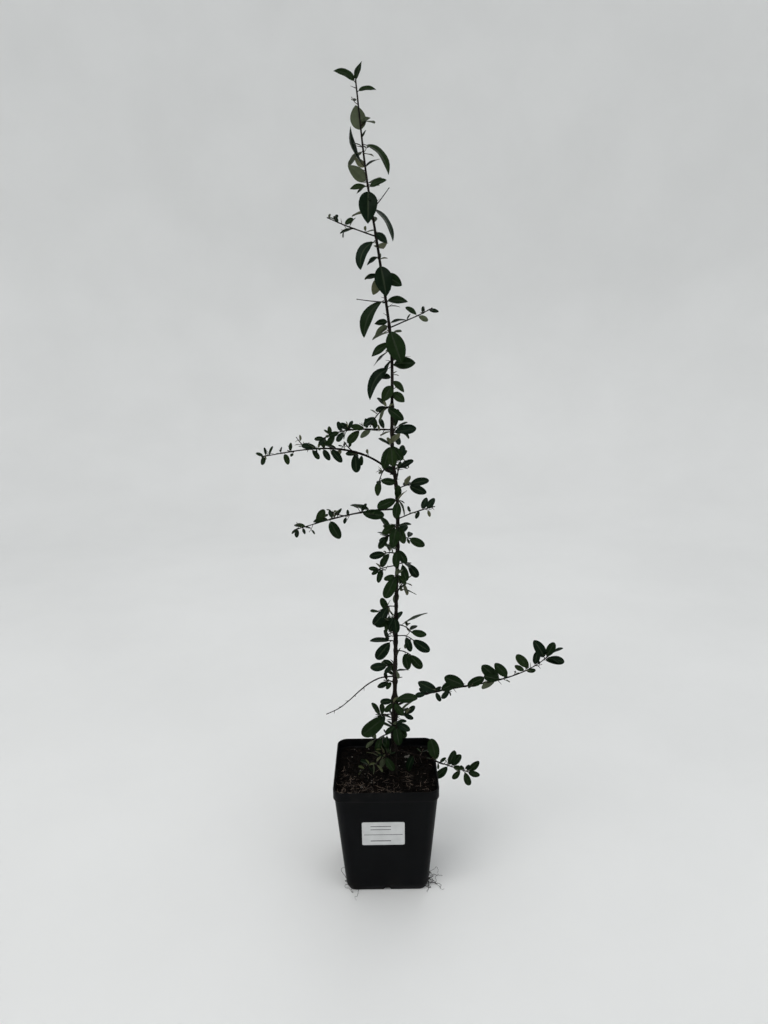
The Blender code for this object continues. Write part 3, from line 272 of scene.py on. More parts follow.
# Bark: scale across, scale along and height of each; lumps have one scale
RIDGES, LUMPS, PORES = (3.4, 70, 0.09), (240, 0.05), (2.6, 560, 0.22)
PORE_LEVEL = 0.3
# The old cut's stub, its shape in centimetres: way along, radius
STUB_DROP, STUB_WAY, STUB_SIDES = 0.5, (172, 58), 18
STUB_SHAPE = ((0.0, 0.36), (0.3, 0.3), (0.55, 0.25), (0.7, 0.24), (0.74, 0.2))
# Buttresses at the stem's foot: compass angle, length; share of the length, radius
BUTTRESSES = ((20, 1.0), (95, 0.8), (165, 1.1), (235, 0.9), (300, 1.0))
BUTTRESS_SHAPE = ((0.0, 0.26), (0.35, 0.2), (0.7, 0.13), (1.0, 0.06))
BUTTRESS_START, BUTTRESS_RISE, BUTTRESS_DIVE, BUTTRESS_SIDES = 0.12, 0.55, 0.16, 12

# Thorns that show on the leader: height, angle in the front view, length
LEADER_THORNS = (
    (83.3, 22, 0.55), (81.4, 172, 1.0), (78.2, 196, 0.5), (77.9, 8, 0.4), (75.9, 165, 0.5),
    (73.0, 30, 0.8), (70.9, 168, 0.6), (68.3, 20, 0.7), (65.2, 150, 0.6), (62.9, 25, 0.6),
    (60.6, 172, 0.7),
)

# Material numbers of leaves
TOP_TINTS = 5
RIB = 5
UNDER = 6
UNDER_TINTS = 2
YOUNG_TINTS = (8, 9, 10)
YOUNG_MASSES = ("tuft_left_16",)
YOUNG_LENGTH = 0.0165
SPRAY_LEAVES = 5
LEAF_GROUPS = (("leaves_upper", 50), ("leaves_middle", 30), ("leaves_lower", 0))  # over a height
SPRAY_SHARE = 0.6  # of a spray's leaves have its own tint

# Fine roots at the pot's foot: where they start, their way, how many, and their length
WISPS = (
    ((0.0440, -0.032, 0.002), (0.8, -0.25, 0.6), 30, 0.040),
    ((-0.0440, -0.034, 0.001), (-0.9, -0.3, 0.2), 3, 0.026),
    ((-0.0340, -0.045, 0.001), (-0.4, -0.9, 0.05), 4, 0.024),
)
WISP_SEED = 77
WISP_START = ((-0.006, 0.006), (0.0, 0.003))
WISP_SPREAD = (0.5, 1)
WISP_RADIUS = (0.00024, 0.00042)
WISP_TAPER = 0.6
WISP_RISE, WISP_CURL, WISP_STEPS = 0.8, 1.0, 14
WISP_FLOOR = 0.0006
WISP_SMOOTH = 0.001

# Camera, from the tape and the pot's rim
CAMERA_PLACE = (0.0021, -0.830, 0.641)
CAMERA_PITCH = 76.63
CAMERA_ROLL = -0.81
CAMERA_LENS = 27.34
CAMERA_SENSOR = 36.0
CAMERA_CLIP = (0.01, 50.0)

# Stage: a pale floor that curves up into a wall all round
STAGE_FLOOR = 1.7
STAGE_RINGS = (0.5, 1.1, STAGE_FLOOR)
STAGE_WALL = 2.9
STAGE_TOP = 3.4
STAGE_SIDES = 96
STAGE_BENDS = 16
# Lights: name, place, aim, side, watts, colour
LIGHTS = (
    ("key", (-1.1, -1.2, 2.2), (0.0, 0.0, 0.4), 1.6, 20.0, (1.0, 0.985, 0.965)),
    ("fill", (1.6, -1.3, 1.3), (0.0, 0.0, 0.4), 1.6, 7.5, (0.96, 0.98, 1.0)),
    ("back", (0.4, 1.8, 2.0), (0.0, 0.0, 0.5), 1.6, 8.0, (1.0, 1.0, 1.0)),
)
WORLD_COLOUR = (0.96, 0.98, 1.0)
WORLD_STRENGTH = 0.68

# Materials: two colours (or one, and how much lighter the other is), scale of the patches,
# least and most roughness, and the relief's scale, strength and depth.  Then, where they
# differ, the values of other sockets and the stretch of the patterns.
EVEN = (1.0, 1.0, 1.0)
DAMP = (("Specular IOR Level", 0.04),)
DULL = (("Specular IOR Level", 0.12),)
SHINE = (("Coat Weight", 0.02), ("Coat Roughness", 0.2), ("Specular IOR Level", 0.03))
TOP_SKIN = (1.35, 260, (0.32, 0.5), (900, 0.16, 0.0003), SHINE)
UNDER_SKIN = (1.2, 240, (0.55, 0.72), (1100, 0.2, 0.0003), DULL)
YOUNG_SKIN = (1.25, 260, (0.4, 0.55), (900, 0.12, 0.0003), DULL)
LOOKS = {
    "leaf_top_0": ((0.0050, 0.0120, 0.0036), *TOP_SKIN),
    "leaf_top_1": ((0.0072, 0.0160, 0.0048), *TOP_SKIN),
    "leaf_top_2": ((0.0034, 0.0086, 0.0038), *TOP_SKIN),
    "leaf_top_3": ((0.0100, 0.0195, 0.0056), *TOP_SKIN),
    "leaf_top_4": ((0.0056, 0.0125, 0.0068), *TOP_SKIN),
    "leaf_rib": ((0.0105, 0.0185, 0.0075), (0.016, 0.026, 0.0105), 300, (0.4, 0.55),
                 (900, 0.1, 0.0002), DULL),
    "leaf_under_0": ((0.080, 0.086, 0.046), *UNDER_SKIN),
    "leaf_under_1": ((0.052, 0.064, 0.036), *UNDER_SKIN),
    "leaf_young_top": ((0.038, 0.048, 0.017), *YOUNG_SKIN),
    "leaf_young_rib": ((0.060, 0.066, 0.028), *YOUNG_SKIN),
    "leaf_young_under": ((0.060, 0.066, 0.034), *YOUNG_SKIN),
    "leaf_stalk": ((0.012, 0.015, 0.007), (0.024, 0.0145, 0.0095), 240, (0.42, 0.6),
                   (1400, 0.2, 0.0003), DAMP),
    "bark": ((0.0036, 0.0029, 0.0026), (0.0090, 0.0068, 0.0056), 110, (0.62, 0.85), (900, 0.55, 0.0006),
             (("Specular IOR Level", 0.06),), (1.0, 1.0, 0.22)),
    "twig": ((0.0036, 0.0028, 0.0025), (0.0095, 0.0060, 0.0048), 190, (0.45, 0.7),
             (1400, 0.4, 0.0004), DAMP),
    "young_twig": ((0.024, 0.019, 0.009), (0.042, 0.021, 0.013), 260, (0.42, 0.6), (1400, 0.3, 0.0003)),
    "thorn": ((0.011, 0.008, 0.006), (0.024, 0.0145, 0.0105), 380, (0.4, 0.6), (1800, 0.2, 0.0003), DAMP),
    "root": ((0.006, 0.0045, 0.0036), (0.018, 0.013, 0.0095), 260, (0.6, 0.85),
             (2600, 0.4, 0.0004), DAMP),
    "soil_damp": ((0.0009, 0.0008, 0.0007), (0.0034, 0.0026, 0.0021), 210, (0.8, 0.98),
                  (1500, 0.9, 0.0012), DAMP),
    "crumb_dark": ((0.0014, 0.0011, 0.0010), (0.0048, 0.0036, 0.0029), 600, (0.8, 0.98),
                   (2600, 0.8, 0.0008), DAMP),
    "crumb_brown": ((0.0036, 0.0027, 0.0020), (0.0085, 0.0060, 0.0044), 600, (0.8, 0.98),
                    (2600, 0.8, 0.0008), DAMP),
    "crumb_pale": ((0.075, 0.068, 0.060), (0.13, 0.12, 0.105), 600, (0.75, 0.98), (2600, 0.6, 0.0008)),
    "fibre_tan": ((0.075, 0.052, 0.036), (0.15, 0.112, 0.082), 420, (0.65, 0.9), (2600, 0.5, 0.0004)),
    "fibre_brown": ((0.018, 0.012, 0.008), (0.045, 0.030, 0.021), 420, (0.65, 0.9), (2600, 0.5, 0.0004)),
    "pot_plastic": ((0.0010, 0.0013, 0.0018), (0.0018, 0.0022, 0.0029), 28, (0.36, 0.5),
                    (2600, 0.10, 0.00025), (("Specular IOR Level", 0.07),)),
    "sticker_paper": ((0.60, 0.61, 0.61), (0.54, 0.55, 0.55), 90, (0.45, 0.6), (1800, 0.08, 0.0002)),
    "sticker_print": ((0.06, 0.06, 0.065), (0.10, 0.10, 0.105), 700, (0.5, 0.7), (1800, 0.08, 0.0002)),
    "stage_paper": ((0.79, 0.795, 0.79), (0.82, 0.825, 0.82), 3, (0.7, 0.85), (60, 0.05, 0.001)),
}
LEAF_LOOKS = [name for name in LOOKS if name.startswith("leaf_") and name != "leaf_stalk"]
BLOOM_COLOUR = (0.021, 0.018, 0.016)
PORE_COLOUR = (0.040, 0.031, 0.023)
SCUFF_COLOUR = (0.012, 0.0125, 0.013)
DUST_COLOUR = (0.016, 0.014, 0.0115)
DUST_MOST = 0.30
DUSTY_HEIGHTS = ((0.030, 0.0), (0.118, 0.137))  # from no dust to full dust
# Patterns: a noise's scale, detail and stretch, and the range that it is stretched from and to
BLOOM = ((34, 5.0), (0.52, 0.72, 0.0, 0.55))
BARK_PORES = ((700, 0.0, (1.0, 1.0, 2.6)), (0.66, 0.72, 0.0, 0.8))
SCUFFS = ((420, 2.0, (0.12, 0.12, 1.6)), (0.66, 0.76, 0.0, 0.25))
BLOTCHES = ((60, 6.0), (0.48, 0.70))
PATCH_DETAIL, PATCH_RAMP = 4.0, (0.35, 0.65)
GRAIN_DETAIL, GRAIN_RAMP = 3.0, (0.3, 0.7)
materials = {}  # by name, filled by make_materials

# A shoot leaves the stem at a height, on a compass angle from +X, with a slope at its foot,
# its middle and its tip.  It carries seeded buds, each with one leaf and some smaller ones,
# and seeded side twigs.
Shoot = namedtuple("Shoot", "height azimuth slopes length buds leaf small twigs bough", defaults=(0, 0.0))

SHOOTS = {name: Shoot(*row) for name, row in {
    "left_high": (53.4, 183, (2, -3, -30), 7.4, 2, 1.3, 1, 1),
    "left_mid": (48.6, 180, (50, 3, -9), 14.8, 4, 1.3, 1, 2, 2.4),
    "left_low": (44.7, 178, (0, -13, -17), 11.4, 2, 1.3, 1, 1, 1.8),
    "right_branch": (21.3, -3, (31, 11, 46), 18.5, 1, 1.6, 1, 0, 2.6),
    "low_right": (15.3, 2, (-14, -22, -20), 9.1, 1, 1.3, 1, 0, 2.2),
    "back_high": (47.5, 84, (20, 12, 4), 8.0, 5, 2.0, 1, 1),
    "back_low": (29.0, 98, (28, 14, 8), 7.0, 5, 2.2, 1, 1),
    "spur_left_23": (24.2, 176, (20, 10, 0), 0.9, 1, 1.1, 2),
    "spur_left_26": (26.4, 188, (0, -10, -20), 0.8, 1, 1.6, 1),
    "spur_left_29": (29.3, 180, (10, 0, -10), 0.9, 1, 1.6, 1),
    "spur_left_31": (31.9, 190, (0, -20, -40), 1.0, 1, 1.2, 1),
    "spur_left_33": (33.5, 185, (10, 0, -10), 0.9, 1, 1.6, 1),
    "spur_left_36": (38.3, 196, (0, -8, -10), 2.0, 1, 1.2, 1),
    "spur_left_38": (39.7, 184, (20, 0, -20), 1.3, 2, 1.5, 1),
    "spur_left_42": (41.9, 200, (10, -10, -30), 1.3, 2, 1.7, 1),
    "spur_left_48": (49.9, 206, (-20, -55, -70), 2.6, 2, 1.2, 1),
    "spur_left_56": (55.9, 190, (-10, -46, -60), 3.0, 1, 1.0, 1),
    "spur_right_27": (28.1, 0, (0, -20, -40), 1.5, 1, 1.7, 1),
    "spur_right_29": (29.9, 8, (10, -20, -50), 1.9, 1, 1.7, 1),
    "spur_right_31": (31.3, -8, (6, -32, -50), 1.8, 1, 1.5, 0),
    "spur_right_38": (38.5, 4, (20, 0, -10), 1.2, 2, 1.7, 1),
    "spur_right_41": (41.4, -5, (20, 0, -10), 1.1, 1, 1.6, 1),
    "spur_right_44": (43.7, 0, (24, 18, 12), 3.9, 1, 0.9, 1),
    "spur_right_47": (47.0, -8, (30, 20, 10), 1.3, 2, 1.9, 0),
    "spur_right_55": (55.8, -140, (20, 0, -10), 0.9, 2, 1.7, 1),
    "spur_front_51": (51.8, 264, (20, 0, -20), 1.2, 2, 1.9, 1),
    "spur_front_45": (45.9, 272, (20, 0, -20), 1.2, 2, 1.9, 1),
    "spur_front_42": (43.0, 262, (20, 0, -20), 1.1, 2, 1.9, 1),
    "spur_front_36": (37.4, 262, (20, 0, -20), 1.0, 2, 1.8, 1),
    "spur_front_25": (25.0, 280, (20, 0, -20), 1.0, 1, 1.5, 1),
    "spur_back_54": (52.9, 76, (30, 10, 0), 2.4, 3, 2.2, 1),
    "spur_back_41": (40.6, 100, (20, 10, 0), 3.2, 4, 2.3, 1),
    "spur_back_35": (35.0, 70, (30, 10, 0), 2.6, 4, 2.2, 1),
    "spur_back_24": (24.2, 88, (30, 10, 0), 3.0, 4, 2.2, 1),
    "tuft_left_20": (20.1, 190, (4, -4, -10), 1.5, 1, 1.8, 2),
    "tuft_left_18": (17.7, 198, (0, -20, -30), 2.2, 2, 1.4, 2),
    "tuft_left_16": (15.4, 219, (16, -14, -32), 4.4, 5, 1.8, 1, 1),
    "tuft_front_18": (19.5, 278, (10, -20, -40), 1.2, 2, 1.7, 1),
    "tuft_front_15": (15.3, 236, (24, 4, -20), 1.8, 2, 1.7, 1),
    "tuft_right_19": (19.9, 4, (20, 0, -10), 1.2, 2, 1.4, 1),
    "tuft_back_17": (17.2, 92, (30, 12, 0), 3.4, 5, 2.2, 1),
    "spur_front_40": (40.3, 264, (20, 0, -20), 0.9, 1, 1.5, 1),
    "spur_front_32": (32.5, 256, (20, 0, -20), 0.9, 1, 1.4, 1),
    "spur_front_22": (22.2, 262, (10, -6, -20), 1.0, 1, 1.3, 1),
    "twig_left_73": (73.1, 180, (20, 20, 26), 4.9, 1, 0.8, 0),
    "twig_right_64": (64.1, -4, (24, 22, 30), 4.5, 1, 0.8, 0),
}.items()}
SHOOT_SEED = 41

# The leader's side twigs: height, compass angle, slope, length, seeded buds
LEADER_TWIGS = (
    (75.5, -10, 52, 2.6, 0), (66.6, 182, 6, 2.9, 0), (70.2, 95, 25, 3.0, 2), (61.2, 80, 20, 3.4, 3),
)
TWIG_EASE, TWIG_RISE = 0.9, 6  # their slope at the middle, as a share, and more of it at the tip
LEADER_BUDS = 9
LEADER_LEAF = 2.7
LEADER_BUD_FOOT = 57.8
LEADER_BUD_TOP = 84.0

# A bare twig arches out over the pot's left side
BARE_TWIG = Shoot(24.9, 184, (8, -42, -15), 9.0, 0, 0.0, 0)

# Leaves that show: place along the shoot (a height on the leader, else a share of the
# length), angle in the front view, sine of the lean to the front, length, how far the blade
# turns its upper side (or, below zero, its under side) to the front, and its sideways bow
Shown = namedtuple("Shown", "place angle lean length face bow", defaults=(0.0,))
SHOWN_LEAVES = {
    "leader": (
        (87.3, 73, 0.0, 1.9, 0.5), (87.2, 153, 0.1, 2.4, 0.6, -0.1), (86.5, 5, 0.0, 1.9, 0.6, 0.06),
        (82.9, 101, -0.4, 3.0, -1.0), (82.2, 78, 0.0, 0.9, 0.4), (79.6, 108, 0.0, 4.0, 0.3, 0.18),
        (81.8, -47, 0.1, 3.9, 0.38, 0.12), (79.7, 32, -0.3, 1.8, 0.25), (79.5, 136, -0.3, 1.5, -0.9),
        (81.5, 178, 0.1, 1.1, 0.2), (78.2, 136, -0.2, 2.6, -0.8), (77.9, 184, 0.0, 1.8, 0.5),
        (77.9, 214, 0.0, 1.4, 0.3), (77.7, 20, 0.2, 2.0, 0.6), (77.7, 270, 0.3, 3.6, 1.0),
        (76.0, -57, 0.2, 4.1, 0.18, 0.10), (73.5, -44, 0.2, 1.7, 0.8), (72.7, 240, 0.25, 3.4, 0.5, -0.17),
        (71.2, 212, 0.0, 1.5, 0.4), (70.6, 282, 0.3, 3.5, 1.0), (69.2, 187, 0.0, 1.8, 0.4),
        (69.5, -32, 0.1, 2.4, 0.8), (69.4, 245, -0.4, 2.3, -0.8), (66.9, -2, 0.1, 2.3, 0.5),
        (66.9, 237, 0.1, 4.5, 0.4, -0.11), (64.7, 186, 0.0, 1.5, 0.7), (64.4, 213, 0.1, 1.8, -0.6),
        (64.6, 4, 0.2, 1.9, 0.3), (64.0, 288, 0.3, 3.9, 1.0), (62.6, 214, 0.1, 2.5, 0.4),
        (62.0, 222, 0.0, 2.6, 0.1), (60.9, 238, 0.1, 1.6, 0.2), (60.3, 4, 0.2, 2.5, 0.8),
        (60.1, 233, 0.2, 4.2, 0.4, -0.12), (59.0, 176, 0.0, 1.7, 0.5), (58.8, -45, 0.2, 1.8, 0.5),
        (58.2, 240, 0.4, 2.2, 0.9), (57.5, -40, 0.4, 1.8, 0.9),
    ),
    "left_high": (
        (0.20, 104, 0.1, 1.3, 0.8), (0.09, 112, 0.1, 1.3, 0.8), (0.30, 52, 0.0, 1.5, 0.5),
        (0.28, 214, 0.1, 1.5, -0.8), (0.38, 166, 0.2, 1.6, 0.6), (0.43, 227, 0.1, 2.0, 0.8),
        (0.34, 96, 0.1, 1.2, 0.8), (0.58, 146, 0.2, 1.4, 0.9), (0.62, 60, 0.0, 1.1, 0.6),
        (0.66, 232, 0.1, 1.4, 0.9), (0.72, 104, 0.2, 1.2, 0.8), (0.74, 196, 0.3, 1.3, 0.9),
        (0.82, 238, 0.2, 1.5, 0.8), (0.88, 92, 0.1, 1.0, 0.7), (0.94, 222, 0.1, 1.2, 0.8),
        (1.00, 186, 0.1, 1.1, 0.8),
    ),
    "left_mid": (
        (1.00, 158, 0.0, 0.95, 0.5), (0.98, 98, 0.0, 0.95, 0.4), (0.96, 66, 0.0, 1.1, 0.4),
        (0.85, -74, 0.1, 1.35, 0.6), (0.64, -52, 0.1, 1.35, 0.7), (0.56, -61, 0.1, 1.45, 0.9),
        (0.505, -50, 0.2, 1.9, 1.0), (0.33, -87, 0.2, 2.2, 1.0), (0.45, 158, 0.1, 1.6, 0.3),
        (0.80, 82, 0.0, 1.0, 0.8), (0.60, 165, 0.2, 1.8, 0.6), (0.55, 108, 0.1, 1.1, 0.9),
        (0.28, 170, 0.1, 1.6, 0.5), (0.27, 262, 0.1, 1.2, 0.5), (0.76, 150, 0.1, 0.9, 0.5),
    ),
    "left_low": (
        (0.65, -63, 0.2, 2.4, 1.0), (0.34, 60, 0.1, 1.2, 0.6), (0.66, 184, 0.1, 1.8, 0.3),
        (0.90, 172, 0.0, 1.3, 0.5), (0.24, 157, -0.2, 2.4, 0.2), (0.18, 60, 0.1, 1.3, 0.7),
        (0.35, -4, 0.3, 2.7, 0.9), (0.99, 200, 0.0, 0.9, 0.5), (0.79, 58, 0.1, 1.9, 0.9),
        (0.58, 64, 0.1, 1.2, 0.4), (0.62, 40, 0.0, 1.2, 0.3), (0.94, -70, 0.1, 0.8, 0.7),
        (0.10, 236, 0.2, 1.6, 0.8),
    ),
    "right_branch": (
        (0.265, 152, 0.1, 2.6, 0.8), (0.20, 140, 0.1, 1.2, 0.8), (0.20, 197, 0.2, 1.4, 0.8),
        (0.26, -66, 0.2, 1.3, 0.9), (0.345, 226, 0.2, 1.5, 0.9), (0.28, 13, 0.1, 2.4, 0.6),
        (0.45, 153, 0.1, 2.8, 0.7), (0.45, 28, 0.1, 2.4, 0.7), (0.66, 137, 0.2, 3.0, 1.0),
        (0.67, 161, 0.3, 2.3, 0.9), (0.64, 206, 0.1, 1.9, -0.9), (0.72, 133, 0.0, 2.3, 0.8),
        (0.855, 131, 0.1, 2.4, 0.9), (0.825, 149, 0.1, 1.4, 0.9), (0.83, 12, 0.1, 1.2, 0.8),
        (0.90, 84, 0.1, 1.9, 1.0), (0.97, 127, 0.1, 2.7, 0.8), (0.98, 68, 0.1, 2.1, 0.8),
        (0.96, -2, 0.1, 2.4, 0.45), (1.00, 32, 0.0, 2.1, -0.2), (0.24, 40, 0.1, 1.1, 0.7),
    ),
    "low_right": (
        (0.545, 103, -0.1, 2.9, 0.9), (0.59, 36, 0.0, 1.0, 0.5), (0.725, 222, 0.2, 2.2, 0.9),
        (0.73, 70, 0.1, 2.2, 1.0), (0.75, 52, 0.0, 1.9, 0.6), (0.77, -8, 0.1, 1.3, 0.8),
        (0.90, 228, 0.2, 1.5, 0.8), (0.96, -74, 0.2, 1.9, 1.0), (1.00, 46, 0.1, 2.0, 0.8),
        (1.00, -17, 0.1, 1.6, 0.9), (0.24, 247, 0.1, 2.2, 0.4),
    ),
    "spur_left_23": ((0.4, 208, 0.1, 1.6, 0.9), (0.2, 236, 0.2, 1.1, 0.8)),
    "spur_left_26": ((0.7, 186, 0.1, 2.1, 0.8), (0.3, 231, 0.1, 1.3, 0.9), (0.3, 146, 0.2, 1.2, 0.8)),
    "spur_left_29": ((0.3, 228, 0.2, 2.7, 1.0), (0.4, 178, 0.1, 2.4, 0.2)),
    "spur_left_31": ((0.2, 187, 0.2, 1.7, 0.9), (0.5, 207, 0.1, 1.8, 0.8), (0.9, 258, 0.1, 1.2, 0.6)),
    "spur_left_33": ((0.6, 229, 0.2, 2.8, 1.0),),
    "spur_left_36": ((1.0, 172, 0.1, 1.2, 0.9), (0.95, 214, 0.1, 1.1, 0.9), (0.8, 252, 0.2, 1.7, 0.6)),
    "spur_left_38": ((0.8, 190, 0.1, 1.9, 0.8), (0.5, 243, 0.2, 1.9, 0.6)),
    "spur_left_42": ((0.6, 231, 0.1, 1.9, 0.5), (0.2, 204, 0.3, 1.8, 1.0), (0.9, 212, 0.0, 1.0, 0.5)),
    "spur_left_48": ((0.9, 262, 0.1, 1.8, 0.4), (1.0, -8, 0.2, 1.7, 0.8), (0.2, 250, 0.0, 1.9, 0.2)),
    "spur_left_56": ((0.76, 214, 0.1, 2.1, 0.3), (0.62, 212, 0.2, 1.7, 0.6), (0.1, 200, 0.2, 1.4, 0.7)),
    "spur_right_27": ((1.0, -48, 0.1, 2.3, 0.9), (0.6, -80, 0.2, 2.1, 0.9)),
    "spur_right_29": ((0.9, -34, 0.2, 2.5, 0.9), (0.5, -72, 0.3, 1.9, 0.9)),
    "spur_right_31": ((0.9, -14, 0.1, 1.9, 1.0), (0.2, 24, -0.1, 3.4, -0.2)),
    "spur_right_38": ((0.8, -56, 0.1, 2.0, 0.9), (0.3, -76, 0.2, 2.1, 0.9)),
    "spur_right_41": ((0.9, -25, 0.1, 2.0, 0.9),),
    "spur_right_44": ((0.66, 68, 0.1, 1.5, 0.9), (0.80, 52, 0.1, 1.5, 0.9), (0.62, 244, 0.1, 1.0, 0.7)),
    "spur_right_47": ((0.9, 14, 0.1, 2.3, 0.6), (0.9, -24, 0.1, 2.2, 1.0)),
    "spur_right_55": ((0.6, -37, 0.3, 2.3, 0.9),),
    "spur_front_51": ((0.8, 274, 0.3, 2.2, 1.0), (0.6, 306, 0.2, 2.0, 1.0), (0.4, 250, 0.1, 2.7, 0.5)),
    "spur_front_45": ((0.7, 88, 0.3, 1.8, 1.0), (0.4, 200, 0.2, 2.3, 0.8), (0.9, 262, 0.3, 2.0, 1.0)),
    "spur_front_42": ((0.8, 256, 0.3, 2.3, 1.0), (0.5, 292, 0.2, 2.2, 0.9), (0.3, 203, 0.3, 1.9, 0.9)),
    "spur_front_36": ((0.5, 244, 0.3, 2.9, 1.0), (0.8, 196, 0.2, 1.4, 0.8)),
    "spur_back_54": ((0.4, 4, 0.1, 2.4, 0.9), (0.1, 14, 0.2, 2.3, 0.5), (0.2, -62, 0.1, 1.5, 0.7)),
    "spur_back_35": ((0.05, 258, -0.2, 1.5, -0.8),),
    "tuft_left_20": ((0.3, 212, 0.3, 3.8, 1.0), (1.0, 122, 0.0, 1.9, 0.3), (0.8, 92, 0.1, 1.6, 0.6)),
    "tuft_left_18": (
        (0.9, 100, 0.1, 1.6, -0.8), (0.6, 250, 0.3, 1.8, 0.9), (1.0, 212, 0.2, 1.5, -0.7),
        (0.3, 264, 0.3, 1.9, 0.9),
    ),
    "tuft_front_18": ((0.7, 278, 0.3, 2.4, 1.0), (0.5, -28, 0.2, 1.9, 0.7), (0.3, 300, 0.2, 2.3, 0.9)),
    "tuft_front_15": ((0.8, 302, 0.3, 1.9, 0.9),),
    "tuft_right_19": ((0.9, 52, 0.1, 1.5, 0.9), (0.6, -20, 0.2, 1.3, 0.9), (0.1, 33, 0.2, 3.3, -0.35)),
    "spur_front_40": ((0.6, 264, 0.3, 2.0, 1.0), (0.4, 302, 0.2, 1.9, 0.9)),
    "spur_front_32": ((0.5, 252, 0.2, 1.9, 0.9), (0.7, 278, 0.3, 1.9, 1.0)),
    "spur_front_22": (
        (0.4, 11, 0.2, 2.8, 0.35), (0.5, 182, 0.2, 1.6, 0.6), (0.8, 306, 0.3, 1.9, 0.9),
        (0.9, 226, 0.3, 1.5, 0.9),
    ),
    "twig_left_73": (
        (0.44, 198, 0.1, 1.5, 0.4), (0.55, 54, 0.0, 1.1, 0.2), (0.67, 36, 0.1, 1.1, 0.9),
        (0.80, 128, 0.1, 0.8, 0.8),
    ),
    "twig_right_64": (
        (0.34, 164, 0.1, 1.0, 0.9), (0.38, 58, 0.0, 0.8, 0.4), (0.66, 144, 0.0, 1.5, 0.5),
        (0.68, -26, 0.1, 1.2, -0.9), (0.96, -8, 0.1, 1.1, 0.7),
    ),
}

Leaf = namedtuple("Leaf", "root direction normal length width bow")
Mass = namedtuple("Mass", "node rng path twigs leaves")
Solid = namedtuple("Solid", "verts faces")
Placed = namedtuple("Placed", "node centre reach whole blade")
BOUGHS = tuple(name for name, shoot in SHOOTS.items() if shoot.bough)


# Lines and curves


def read_table(table, height):
    """Value of a table of (height, value) at a height, on straight lines."""
    for (low, low_value), (high, high_value) in zip(table, table[1:]):
        if height <= high:
            share = max(0.0, (height - low) / (high - low))
            return low_value + (high_value - low_value) * share
    return table[-1][1]


def stem_point(height):
    """Point of the main stem at a height in centimetres, on a smooth curve."""
    last = len(STEM_LINE) - 1
    index = next((i for i in range(last) if height <= STEM_LINE[i + 1][0]), last - 1)
    near, far = STEM_LINE[index], STEM_LINE[index + 1]
    span = far[0] - near[0]
    share = min(1.0, max(0.0, (height - near[0]) / span))
    coordinates = []
    for axis in (1, 2):
        slopes = []
        for knot in (index, index + 1):
            low, high = STEM_LINE[max(knot - 1, 0)], STEM_LINE[min(knot + 1, last)]
            slopes.append((high[axis] - low[axis]) / (high[0] - low[0]) * span)
        ends = near[axis], far[axis]
        square, cube = share ** 2, share ** 3
        coordinates.append(
            (2 * cube - 3 * square + 1) * ends[0] + (cube - 2 * square + share) * slopes[0]
            + (3 * square - 2 * cube) * ends[1] + (cube - square) * slopes[1]
        )
    return Vector((coordinates[0], coordinates[1], height)) * CM


def stem_path(foot, top, step):
    """Points of the main stem from one height to another, evenly spaced."""
    count = max(1, round((top - foot) / step))
    return [stem_point(foot + (top - foot) * i / count) for i in range(count + 1)]


def heading(azimuth, slope):
    """Unit vector on a compass angle from +X, at a slope, both in degrees."""
    across, rise = math.radians(azimuth), math.radians(slope)
    return Vector((math.cos(rise) * math.cos(across), math.cos(rise) * math.sin(across), math.sin(rise)))


def arc_path(start, azimuth, slopes, length, step):
    """Points of a shoot whose slope turns smoothly from foot to middle to tip."""
    count = max(2, round(length / step))
    points = [start]
    for i in range(count):
        t = (i + 0.5) / count
        slope = (
            slopes[0] * (1 - t) * (1 - 2 * t) + slopes[1] * 4 * t * (1 - t) + slopes[2] * t * (2 * t - 1)
        )
        points.append(points[-1] + heading(azimuth, slope) * (length * CM / count))
    return points


def along(path, share):
    """Point and direction at a share of a path of equal steps, kept inside its tip."""
    inset = TIP_INSET / (path[-1] - path[-2]).length
    place = min(max(share, 0.0) * (len(path) - 1), len(path) - 1 - inset)
    index = int(place)
    run = path[index + 1] - path[index]
    return path[index] + run * (place - index), run.normalized()


def shoot_path(shoot, radius):
    """Path of a shoot, starting a gap clear of the main stem."""
    outward = heading(shoot.azimuth, 0)
    reach = read_table(STEM_RADIUS, shoot.height) * CM + GAP
    reach += radius * abs(math.sin(math.radians(shoot.slopes[0])))
    start = stem_point(shoot.height) + outward * reach
    return arc_path(start, shoot.azimuth, shoot.slopes, shoot.length, TWIG_STEP)


def taper(count, foot, tip):
    """Radii in metres that shrink evenly, from two radii in centimetres."""
    return [(foot + (tip - foot) * i / (count - 1)) * CM for i in range(count)]


def smooth_path(points, step):
    """A curve through points, in steps of about one length."""
    line = []
    for i in range(len(points) - 1):
        before, a, b, after = (points[min(max(i + k, 0), len(points) - 1)] for k in (-1, 0, 1, 2))
        count = max(1, round((b - a).length / step))
        for k in range(count):
            t = k / count
            line.append(
                a + (b - before) * t / 2 + (before * 2 - a * 5 + b * 4 - after) * t ** 2 / 2
                + (a * 3 - before - b * 3 + after) * t ** 3 / 2
            )
    return [*line, points[-1]]


# Solids of the rule


def tube(points, radii, sides, relief=None):
    """Closed tube round a line of points, with flat ends, its skin pushed out by a relief."""
    verts = []
    side = None
    for i, point in enumerate(points):
        direction = (points[min(i + 1, len(points) - 1)] - points[max(i - 1, 0)]).normalized()
        side = direction.orthogonal() if side is None else side
        side = (side - direction * side.dot(direction)).normalized()
        other = direction.cross(side)
        for k in range(sides):
            angle = 2 * math.pi * k / sides
            outward = side * math.cos(angle) + other * math.sin(angle)
            swell = 1 + relief(point, outward) if relief else 1
            verts.append(point + outward * radii[i] * swell)
    return Solid(verts, ring_faces(len(points), sides))


